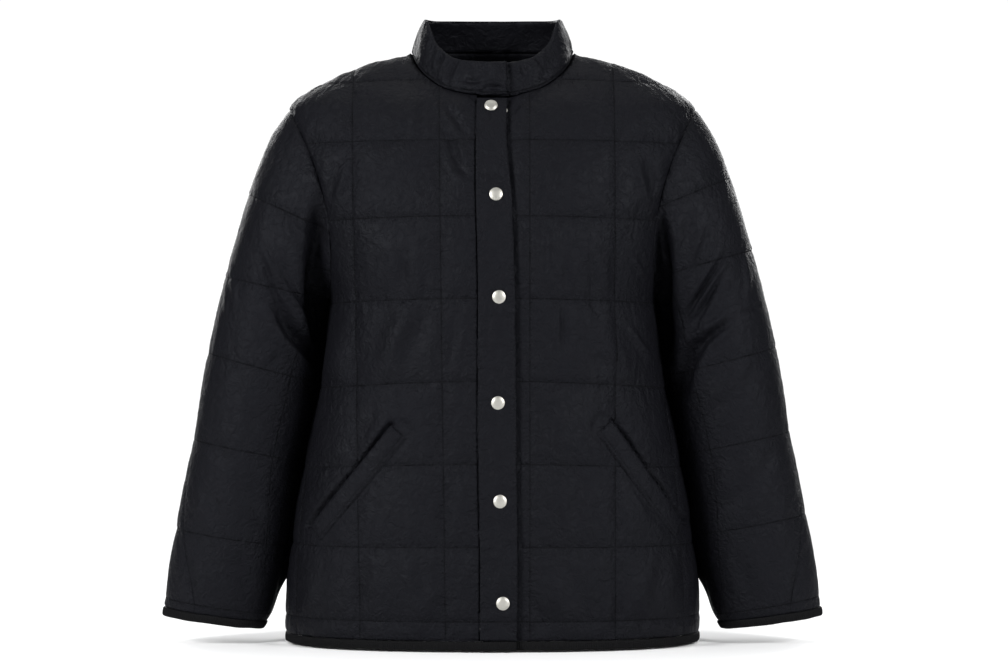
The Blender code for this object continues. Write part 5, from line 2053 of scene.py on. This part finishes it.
class HemBinding:
    """The bound edge all round the hem, its ends lapped below the band."""

    seam_gap = 0.35
    middle_drop = 5.2
    band_end_drop = 5.4
    lap_start = -34.0
    lap_ease = 20.0
    lap_reach = 60.0

    def __init__(self, tape: EdgeTape) -> None:
        """Keeps the tape's sizes."""
        self.tape = tape

    def half_path(self, start: float, hand: Hand) -> Array:
        """Path from a place at the front, round one side, to the middle of the back."""
        height = np.array(FORM.hem - self.seam_gap / 2 - self.middle_drop)
        reach = float(FORM.half_width(height, Half.FRONT))
        sines = np.sin(np.linspace(0, np.pi / 2, 400))
        oval = sines ** (2 / FORM.roundness) * reach
        across = np.concatenate((np.linspace(start, 0, 20)[:-1], oval)) if start < 0 else oval
        front = FORM.surface(across, np.full(across.shape, float(height)), Half.FRONT)
        back = FORM.surface(oval[::-1], np.full(oval.shape, float(height)), Half.BACK)
        return mirrored(np.concatenate((front, back[1:])), hand)

    def dress(self, looks: Wardrobe) -> bpy.types.Object:
        """Builds the piece."""
        over_end = float(band_edge("free", np.array(FORM.hem - self.band_end_drop)))
        right = resampled(self.half_path(-over_end, Hand.RIGHT), self.tape.step)
        left = resampled(self.half_path(OPENING.under_edge, Hand.LEFT), self.tape.step)
        path = np.concatenate((right, left[-2::-1]))
        upper = np.arange(len(path)) < len(right)
        turned = np.where(path[:, 1:2] <= 0, FORM.normal(path, Half.FRONT), FORM.normal(path, Half.BACK))
        level = unit(turned * np.array((1.0, 1.0, 0.0)))
        near = (path[:, 1] < 0) & (np.abs(path[:, 0]) < self.lap_reach)
        over = OPENING.lift * ease((path[:, 0] - self.lap_start) / self.lap_ease)
        shift = np.where(near, np.where(upper, over, OPENING.under_shift(path)), 0.0)
        centres = path + level * (shift + (self.tape.out - self.tape.inwards) / 2)[:, None]
        up = np.broadcast_to(np.array((0.0, 0.0, 1.0)), centres.shape)
        piece = tube("hem_ribbed_binding", self.tape.rings(centres, level, up, 51), False)
        settle(piece, looks.tape, ["hem_binding"])
        return piece


class CuffBinding:
    """The bound edge that closes off a sleeve's end."""

    seam_gap = 0.2
    rings_per_rib = 4

    def __init__(self, sleeve: Sleeve, tape: EdgeTape) -> None:
        """Keeps the sleeve and the tape's sizes."""
        self.sleeve = sleeve
        self.tape = tape

    def sleeve_end(self, count: int) -> tuple[Array, Array, Array]:
        """The sleeve's edge at a number of places: angle, place along the sleeve, and point of each."""
        turn = np.linspace(0, 2 * np.pi, count, endpoint=False)
        end = np.full(turn.shape, float(len(SLEEVE_RINGS) - 1))
        return turn, end, self.sleeve.surface(turn, end)

    def dress(self, looks: Wardrobe) -> bpy.types.Object:
        """Builds the piece."""
        _, _, edge = self.sleeve_end(600)
        total = float(np.linalg.norm(edge - np.roll(edge, 1, axis=0), axis=1).sum())
        turn, end, edge = self.sleeve_end(round(total / self.tape.rib_pitch) * self.rings_per_rib)
        out = self.sleeve.normal(turn, end)
        onward = unit(edge - self.sleeve.surface(turn, end - 0.5))
        centres = edge + onward * (self.tape.height / 2 + self.seam_gap)
        centres = centres + out * (self.tape.out - self.tape.inwards) / 2
        hand = self.sleeve.hand
        rings = self.close_up(self.tape.rings(centres, out, -onward, 61 + int(hand)))
        piece = tube(f"cuff_ribbed_binding_{hand.word}", mirrored(rings, hand), True)
        settle(piece, looks.tape, [f"cuff_binding_{hand.word}"])
        return piece

    def close_up(self, rings: Array) -> Array:
        """Eases the last rings so that the loop meets its start without a step."""
        reach = 24
        gap = rings[0] - (2 * rings[-1] - rings[-2])
        share = ease(np.linspace(0, 1, reach))[:, None, None]
        rings[-reach:] += share * gap[None]
        return rings


class Collar:
    """The padded stand collar, its ends lapped at the front."""

    rim = (
        (-20, -32.5, -72.5, -9.8),
        (0, 0, -77, -11.4),
        (20, 27, -72.5, -9.6),
        (35, 45, -64, -5),
        (46, 56, -55, 3),
        (56, 65, -45, 13),
        (66, 71, -35, 28),
        (77, 76, -20, 40),
        (90, 78.5, -5, 43.5),
        (120, 68, 31, 45),
        (150, 39, 57, 47),
        (180, 0, 67, 47.5),
    )
    end_over = -10.2
    end_under = -7.0
    lift = 2.8
    sink = 4.0
    lap = 11.0
    ease_over = 22.0
    wall = 4.4
    belly = 1.8
    seam_gap = 0.4
    back_overlap = 1.4
    topstitch = 3.4
    columns = 360
    rows = 45

    def base_point(self, angle: Array, hand: Array) -> Array:
        """Point of the neckline at an angle from the front (0) to the back (180), on one half."""
        across = FORM.neck_point[0] * np.sin(np.radians(angle))
        front = FORM.surface(across, FORM.neck_height(across, Half.FRONT), Half.FRONT)
        back = FORM.surface(across, FORM.neck_height(across, Half.BACK), Half.BACK)
        point = np.where((angle <= 90)[..., None], front, back)
        return point * np.stack((hand, np.ones(hand.shape), np.ones(hand.shape)), axis=-1)

    def path(self) -> tuple[Array, Array]:
        """Angles and halves along the collar, from its upper end round the neck to its lower end."""
        turned = np.linspace(self.end_over, 360 - self.end_under, self.columns + 1)
        right = turned <= 180
        angle = np.where(right, turned, 360 - turned)
        return angle, np.where(right, -1.0, 1.0)

    def lay_out(self) -> ClothPanel:
        """Makes the collar's panel: a ruled wall from the neckline to the rim."""
        angle, hand = self.path()
        table = np.array(self.rim, float)
        columns = [smooth_through(table[:, 0], table[:, column], angle) for column in (1, 2, 3)]
        rim = np.stack(columns, axis=-1)
        rim[:, 0] *= hand
        base = self.base_point(angle, hand)
        rise = self.seam_gap - (self.seam_gap + self.back_overlap) * ease((angle - 90) / 30)
        base = base + unit(rim - base) * rise[:, None]
        steps = np.linspace(0, 1, self.rows + 1)[:, None, None]
        grid = base[None] * (1 - steps) + rim[None] * steps
        round_way = np.gradient(grid, axis=1)
        normals = unit(np.cross(round_way, np.broadcast_to(rim - base, grid.shape)))
        outward = np.sign(np.sum(normals * (grid - grid.mean(axis=(0, 1))), axis=-1, keepdims=True))
        panel = ClothPanel(grid, normals * outward)
        panel.wall = self.wall
        panel.edge_drop = self.wall / 2
        panel.edge_round = 4.0
        panel.lining_share = 0.8
        near = 1 - ease((angle - self.lap) / self.ease_over)
        shift = np.where(hand < 0, self.lift * near, -self.sink * near)[None, :]
        share = steps[..., 0]
        panel.base = np.broadcast_to(shift, panel.shape) + self.belly * np.sin(np.pi * share)
        return panel

    def add_relief(self, panel: ClothPanel) -> None:
        """Puckers from the neck seam and the rim, and the folds that the photo shows."""
        height = panel.along
        panel.relief += edge_gathers(height, panel.across, 3001, 1.2)
        panel.relief += edge_gathers(panel.to_top(), panel.across, 3002, 1.0)
        panel.relief += edge_gathers(panel.across, panel.along, 3003, 0.6)
        panel.relief += 0.8 * soft_noise(panel.across, panel.along, (24, 40), 3004)
        panel.relief += 0.7 * crumple(panel.across, panel.along, 3005)
        front = panel.points[..., 1] < 20
        creases = (
            Crease(((-56, 3), (-58, -6), (-62, -24)), -2.6, 2.8),
            Crease(((-38, -8), (-43, -16), (-50, -34)), -3.2, 2.8),
            Crease(((-34, -32), (-20, -35), (-8, -31)), -2.4, 3.0),
            Crease(((-14, -50), (-2, -41), (12, -44)), -2.6, 3.0),
            Crease(((-8, -42), (4, -36), (13, -38)), 1.6, 3.0),
            Crease(((33, -10), (36, -28)), -2.6, 2.6),
            Crease(((48, -2), (54, -16)), -2.6, 2.4),
            Crease(((22, -12), (30, -30)), 1.4, 4.0),
            Crease(((-66, -6), (-52, -36)), 1.8, 5.0),
            Crease(((70, -4), (52, -36)), -1.8, 6.0),
            Crease(((-24, -15), (-30, -26)), 1.6, 4.0),
        )
        panel.relief += crease_height(panel.points, creases) * front
        panel.lines = [StitchLine(height - self.topstitch, panel.across, True)]
        panel.relief -= 0.5 * np.exp(-(((height - self.topstitch) / 1.3) ** 2))
        panel.relief *= 0.35 + 0.65 * ease(panel.border() / 5.0)
        panel.pull = np.exp(-panel.border() / 10.0)

    def dress(self, looks: Wardrobe) -> bpy.types.Object:
        """Builds the piece."""
        panel = self.lay_out()
        self.add_relief(panel)
        piece = panel.build("padded_stand_collar")
        settle(piece, looks.shell, ["collar"])
        declare_cloth(panel)
        self.panel = panel
        return piece


SNAP_PLACES: tuple[Point, ...] = (
    (-1.4, -64),
    (4.3, -164),
    (7.6, -277.5),
    (6.5, -395),
    (8.8, -504),
    (12.0, -616.5),
)
STUD_PLACE: Point = (12.6, -65.5)


class Band:
    """The front band: a strip sewn to the right front that laps over the left one."""

    columns = 27
    rows = 300
    neck_gap = 0.35
    dimple_depth = 1.0
    dimple_reach = 9.5
    ray_height = 0.35
    ray_ring = 11.0
    ray_reach = 5.0
    deepest = -1.4

    def lay_out(self) -> ClothPanel:
        """Makes the band's panel, lifted off the fronts, with its puckers and the snaps' dimples."""
        top = FRONT_NECK[0][1] - OPENING.lift - self.neck_gap
        heights = np.linspace(FORM.hem, top, self.rows + 1)
        seam = band_edge("seam", heights)[:, None] + 0.1
        free = band_edge("free", heights)[:, None]
        across = seam + (free - seam) * np.linspace(0, 1, self.columns + 1)[None, :]
        grid = FORM.surface(across, np.broadcast_to(heights[:, None], across.shape), Half.FRONT)
        panel = ClothPanel(grid, FORM.normal(grid, Half.FRONT))
        panel.edge_round = 2.2
        panel.edge_drop = panel.wall / 2
        panel.base += OPENING.lift
        hem_line = grid[..., 2] - BODY_LINES[0].height
        panel.lines = [StitchLine(hem_line, panel.across, True)]
        puckers = gathers(panel.along, panel.across + 0.01, 3100)
        puckers += 0.9 * gathers(panel.along, panel.to_far_side() + 0.01, 3101)
        puckers += 0.6 * gathers(panel.across, hem_line, 3102)
        puckers += 0.5 * soft_noise(panel.across, panel.along, (26, 30), 3103)
        swell = np.sin(np.pi * np.clip(panel.across / panel.across[:, -1:], 0, 1))
        dimple = np.zeros(panel.shape)
        for number, (x, z) in enumerate(SNAP_PLACES):
            dx, dz = grid[..., 0] - x, grid[..., 2] - z
            distance = np.hypot(dx, dz)
            rays = uneven_wave(np.degrees(np.arctan2(dz, dx)) + 360 * number, 42, 3110 + number)
            dimple -= self.dimple_depth * np.exp(-((distance / self.dimple_reach) ** 2))
            near_ring = np.exp(-(((distance - self.ray_ring) / self.ray_reach) ** 2))
            dimple += self.ray_height * rays * near_ring
        groove = 0.8 * np.exp(-((hem_line / 1.8) ** 2))
        panel.relief += (0.9 * puckers + swell) * ease(panel.border() / 3.0) + dimple - groove
        panel.relief = np.maximum(panel.relief, self.deepest)
        panel.pull = np.exp(-panel.border() / 10.0)
        return panel

    def dress(self, looks: Wardrobe) -> bpy.types.Object:
        """Builds the piece."""
        self.panel = self.lay_out()
        piece = self.panel.build("snap_front_band")
        settle(piece, looks.shell, ["front_band"])
        declare_cloth(self.panel)
        return piece


class PocketWelt:
    """A slanted pocket welt, lying on its front."""

    rows = 90
    columns = 18
    sewn_lift = 1.9
    mouth_lift = 2.3
    stitch_insets = (2.6, 5.4)

    def __init__(self, hand: Hand) -> None:
        """Names the pocket's side."""
        self.hand = hand
        self.panel = self.lay_out()

    def lay_out(self) -> ClothPanel:
        """Makes the welt's panel along the pocket's middle line."""
        welt = WELTS[self.hand]
        steps = np.linspace(0, 1, self.rows + 1)
        across = welt.top[0] + (welt.low[0] - welt.top[0]) * steps
        height = welt.top[1] + (welt.low[1] - welt.top[1]) * steps
        middle = FORM.surface(across, height, Half.FRONT)
        along = unit(np.gradient(middle, axis=0))
        side_way = np.cross(FORM.normal(middle, Half.FRONT), along)
        offsets = np.linspace(-0.5, 0.5, self.columns + 1) * WELT_WIDTH
        spread = middle[:, None] + side_way[:, None] * offsets[None, :, None]
        grid = FORM.surface(spread[..., 0], spread[..., 2], Half.FRONT)
        panel = ClothPanel(grid, FORM.normal(grid, Half.FRONT))
        panel.wall = 2.2
        panel.edge_round = 1.8
        panel.edge_drop = panel.wall / 2
        _, _, side = welt_frame(grid, welt)
        panel.base += self.sewn_lift + self.mouth_lift * ease(side / WELT_WIDTH + 0.5)
        puckers = gathers(panel.along, WELT_WIDTH / 2 + side, 3200 + int(self.hand))
        puckers += 0.8 * gathers(panel.along, WELT_WIDTH / 2 - side, 3210 + int(self.hand))
        panel.relief += 0.55 * puckers * ease(panel.border() / 3.0)
        from_sewn = side + WELT_WIDTH / 2
        panel.lines = [StitchLine(from_sewn - inset, panel.along, False) for inset in self.stitch_insets]
        for line in panel.lines:
            panel.relief -= 0.45 * np.exp(-((line.away / 1.2) ** 2))
        panel.pull = np.exp(-panel.border() / 6.0)
        return panel

    def dress(self, looks: Wardrobe) -> bpy.types.Object:
        """Builds the piece."""
        word = self.hand.word
        piece = self.panel.build(f"slanted_welt_{word}")
        settle(piece, looks.shell, [f"pocket_welt_{word}"])
        declare_cloth(self.panel)
        return piece


@dataclass(frozen=True)
class SnapCap:
    """A domed snap cap: radius, rim and dome, with a pressed ring near its edge."""

    radius: float = 7.5
    dome: float = 2.9
    sides: int = 48
    rim_radius: float = 0.62
    rim_top: float = 1.25
    ring_radius: float = 6.0
    ring_depth: float = 0.28
    ring_half_width: float = 0.35
    foot_inset: float = 1.0

    def profile(self) -> Array:
        """Radius and height from the foot over the rolled rim to the middle of the dome."""
        turns = np.linspace(-0.5, 1.0, 9) * np.pi / 2
        rim_middle = self.radius - self.rim_radius
        rim_radii = rim_middle + self.rim_radius * np.cos(turns)
        rim = np.stack((rim_radii, self.rim_radius * (1 + np.sin(turns))), axis=1)
        share = 1 - np.linspace(0.06, 1, 22)
        radii = rim_middle * share
        heights = self.rim_top + (self.dome - self.rim_top) * np.sqrt(1 - share**2)
        heights -= self.ring_depth * np.exp(-(((radii - self.ring_radius) / self.ring_half_width) ** 2))
        dome = np.stack((radii, heights), axis=1)
        return np.concatenate(([[self.radius - self.foot_inset, 0.0]], rim, dome))

    def build(self, name: str, place: Array, normal: Array) -> bpy.types.Object:
        """Turns the profile about the snap's axis.

        Args:
            name: The piece's name.
            place: Middle of its foot.
            normal: Its axis.

        Returns:
            The new object.
        """
        first = unit(np.cross(normal, (0.0, 0.0, 1.0)))
        second = np.cross(normal, first)
        turns = np.arange(self.sides) * 2 * np.pi / self.sides
        circle = np.cos(turns)[:, None] * first + np.sin(turns)[:, None] * second
        profile = self.profile()
        rings = place + profile[:-1, 0, None, None] * circle + (profile[:-1, 1, None] * normal)[:, None, :]
        count = len(rings)
        index = np.arange(count * self.sides).reshape(count, self.sides)
        tip = index.size
        faces = grid_faces(index, True).tolist() + [index[0][::-1].tolist()]
        last = index[-1]
        faces += np.stack((last, np.roll(last, -1), np.full(self.sides, tip)), axis=1).tolist()
        vertices = np.concatenate((rings.reshape(-1, 3), [place + normal * profile[-1, 1]]))
        mesh = bpy.data.meshes.new(name)
        mesh.from_pydata((vertices * METRES).tolist(), [], faces)
        turn_outwards(mesh)
        return link_mesh(name, mesh)


class Snaps:
    """The six caps on the band and the mating stud that shows beside the top one."""

    def dress(self, looks: Wardrobe) -> None:
        """Builds all the snaps."""
        cap = SnapCap()
        for number, (across, height) in enumerate(SNAP_PLACES, start=1):
            place, normal = FORM.place_on_front(across, height)
            piece = cap.build(f"domed_snap_{number}", place + normal * (OPENING.lift + 0.2), normal)
            settle(piece, looks.metal, [f"snap_cap_{number}"])
        place, normal = FORM.place_on_front(*STUD_PLACE)
        stud = SnapCap(4.6, 1.9)
        piece = stud.build("mating_stud", place + normal * (0.2 - OPENING.sink), normal)
        settle(piece, looks.metal, ["snap_stud_1"])


class Stitching:
    """All the rows of stitches on the quilted panels, the band, the collar and the welts."""

    thread = ThreadRow()

    def dress(self, name: str, panel: ClothPanel, looks: Wardrobe) -> bpy.types.Object:
        """Sews the lines of one panel.

        Args:
            name: The piece's name.
            panel: The panel that the stitches lie on.
            looks: The finishes.

        Returns:
            The new object.
        """
        outer = panel.outer()
        rows = [line_on_surface(line, outer, panel.normals) for line in panel.lines]
        rows = [row for row in rows if len(row[0]) > 4]
        piece = sew(name, rows, self.thread)
        settle(piece, looks.thread)
        return piece


# The studio


@dataclass(frozen=True)
class SoftLight:
    """A large soft light: place and aim in metres, size, power in watts."""

    name: str
    place: tuple[float, float, float]
    aim: tuple[float, float, float]
    size: Point
    power: float


LIGHTS = (
    SoftLight("front_left_softbox", (-1.6, -1.5, 0.5), (0, 0, -0.25), (0.8, 1.0), 58.0),
    SoftLight("front_right_softbox", (1.6, -1.5, 0.5), (0, 0, -0.25), (0.8, 1.0), 49.0),
    SoftLight("top_softbox", (0, 0.7, 2.8), (0, 0.3, -0.4), (3.0, 2.0), 36.0),
    SoftLight("back_left_softbox", (-1.5, 3.5, 1.0), (0, 0, -0.3), (1.5, 1.9), 110.0),
    SoftLight("back_right_softbox", (1.5, 3.5, 1.0), (0, 0, -0.3), (1.5, 1.9), 110.0),
)


class Studio:
    """The pale floor, the soft lights and the camera."""

    floor_height = -0.6712
    floor_radius = 2.2
    floor_corners = 96
    camera_place = (0.0132, -4.0, -0.32085)
    lens = 124.22
    sensor = 36.0
    surround = 0.12

    def floor(self) -> None:
        """A round floor just below the hem."""
        turns = np.linspace(0, 2 * np.pi, self.floor_corners, endpoint=False)
        rim = np.stack((np.cos(turns), np.sin(turns), np.zeros(turns.shape)), axis=1) * self.floor_radius
        rim[:, 2] = self.floor_height
        mesh = bpy.data.meshes.new("studio_floor")
        mesh.from_pydata(rim.tolist(), [], [list(range(self.floor_corners))])
        mesh.materials.append(PaleFloor().build())
        plane = bpy.data.objects.new("studio_floor", mesh)
        bpy.context.scene.collection.objects.link(plane)

    def lights(self) -> None:
        """Soft area lights round the jacket, and a pale surround."""
        for soft in LIGHTS:
            data = bpy.data.lights.new(soft.name, "AREA")
            data.shape = "RECTANGLE"
            data.size, data.size_y = soft.size
            data.energy = soft.power
            lamp = bpy.data.objects.new(soft.name, data)
            lamp.location = soft.place
            away = np.array(soft.place) - np.array(soft.aim)
            level = float(np.hypot(away[0], away[1]))
            lamp.rotation_euler = (np.arctan2(level, away[2]), 0.0, np.arctan2(away[1], away[0]) + np.pi / 2)
            lamp.visible_camera = False
            bpy.context.scene.collection.objects.link(lamp)
        world = bpy.data.worlds.new("studio_surround")
        world.use_nodes = True
        tree = world.node_tree
        tree.nodes.clear()
        seen = add_node(tree, "ShaderNodeBackground", {"Color": (1, 1, 1, 1), "Strength": 1.05}, {})
        glow = {"Color": (0.9, 0.95, 1, 1), "Strength": self.surround}
        lit = add_node(tree, "ShaderNodeBackground", glow, {})
        ray = add_node(tree, "ShaderNodeLightPath", {}, {})
        mix = add_node(
            tree,
            "ShaderNodeMixShader",
            {},
            {0: ray.outputs["Is Camera Ray"], 1: lit.outputs[0], 2: seen.outputs[0]},
        )
        add_node(tree, "ShaderNodeOutputWorld", {}, {0: mix.outputs[0]})
        bpy.context.scene.world = world

    def camera(self) -> None:
        """The photo's view: level, straight from the front."""
        data = bpy.data.cameras.new("photo_camera")
        data.sensor_width = self.sensor
        data.lens = self.lens
        data.clip_end = 60.0
        camera = bpy.data.objects.new("photo_camera", data)
        camera.location = self.camera_place
        camera.rotation_euler = (np.pi / 2, 0.0, 0.0)
        bpy.context.scene.collection.objects.link(camera)
        bpy.context.scene.camera = camera
        bpy.context.scene.view_settings.view_transform = "Standard"


def build_jacket(looks: Wardrobe) -> None:
    """Builds and dresses every piece in order.

    Args:
        looks: The finishes.
    """
    quilting = Quilting()
    stitching = Stitching()
    back = Back(quilting)
    back.dress(looks)
    stitching.dress("back_stitching", back.panel, looks)
    tape = EdgeTape()
    for hand in Hand:
        front = Front(hand, quilting)
        front.dress(looks)
        stitching.dress(f"front_stitching_{hand.word}", front.panel, looks)
        sleeve = Sleeve(hand, quilting)
        sleeve.dress(looks)
        stitching.dress(f"sleeve_stitching_{hand.word}", sleeve.panel, looks)
        CuffBinding(sleeve, tape).dress(looks)
        welt = PocketWelt(hand)
        welt.dress(looks)
        stitching.dress(f"welt_stitching_{hand.word}", welt.panel, looks)
    band = Band()
    band.dress(looks)
    stitching.dress("band_stitching", band.panel, looks)
    collar = Collar()
    collar.dress(looks)
    stitching.dress("collar_stitching", collar.panel, looks)
    HemBinding(tape).dress(looks)
    Snaps().dress(looks)


def main() -> None:
    """Loads the frame, builds the jacket and the studio."""
    logging.basicConfig(level=logging.INFO, format="%(message)s")
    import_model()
    studio = Studio()
    studio.camera()
    studio.floor()
    studio.lights()
    build_jacket(Wardrobe())
    bpy.context.view_layer.update()


if __name__ == "__main__":
    main()
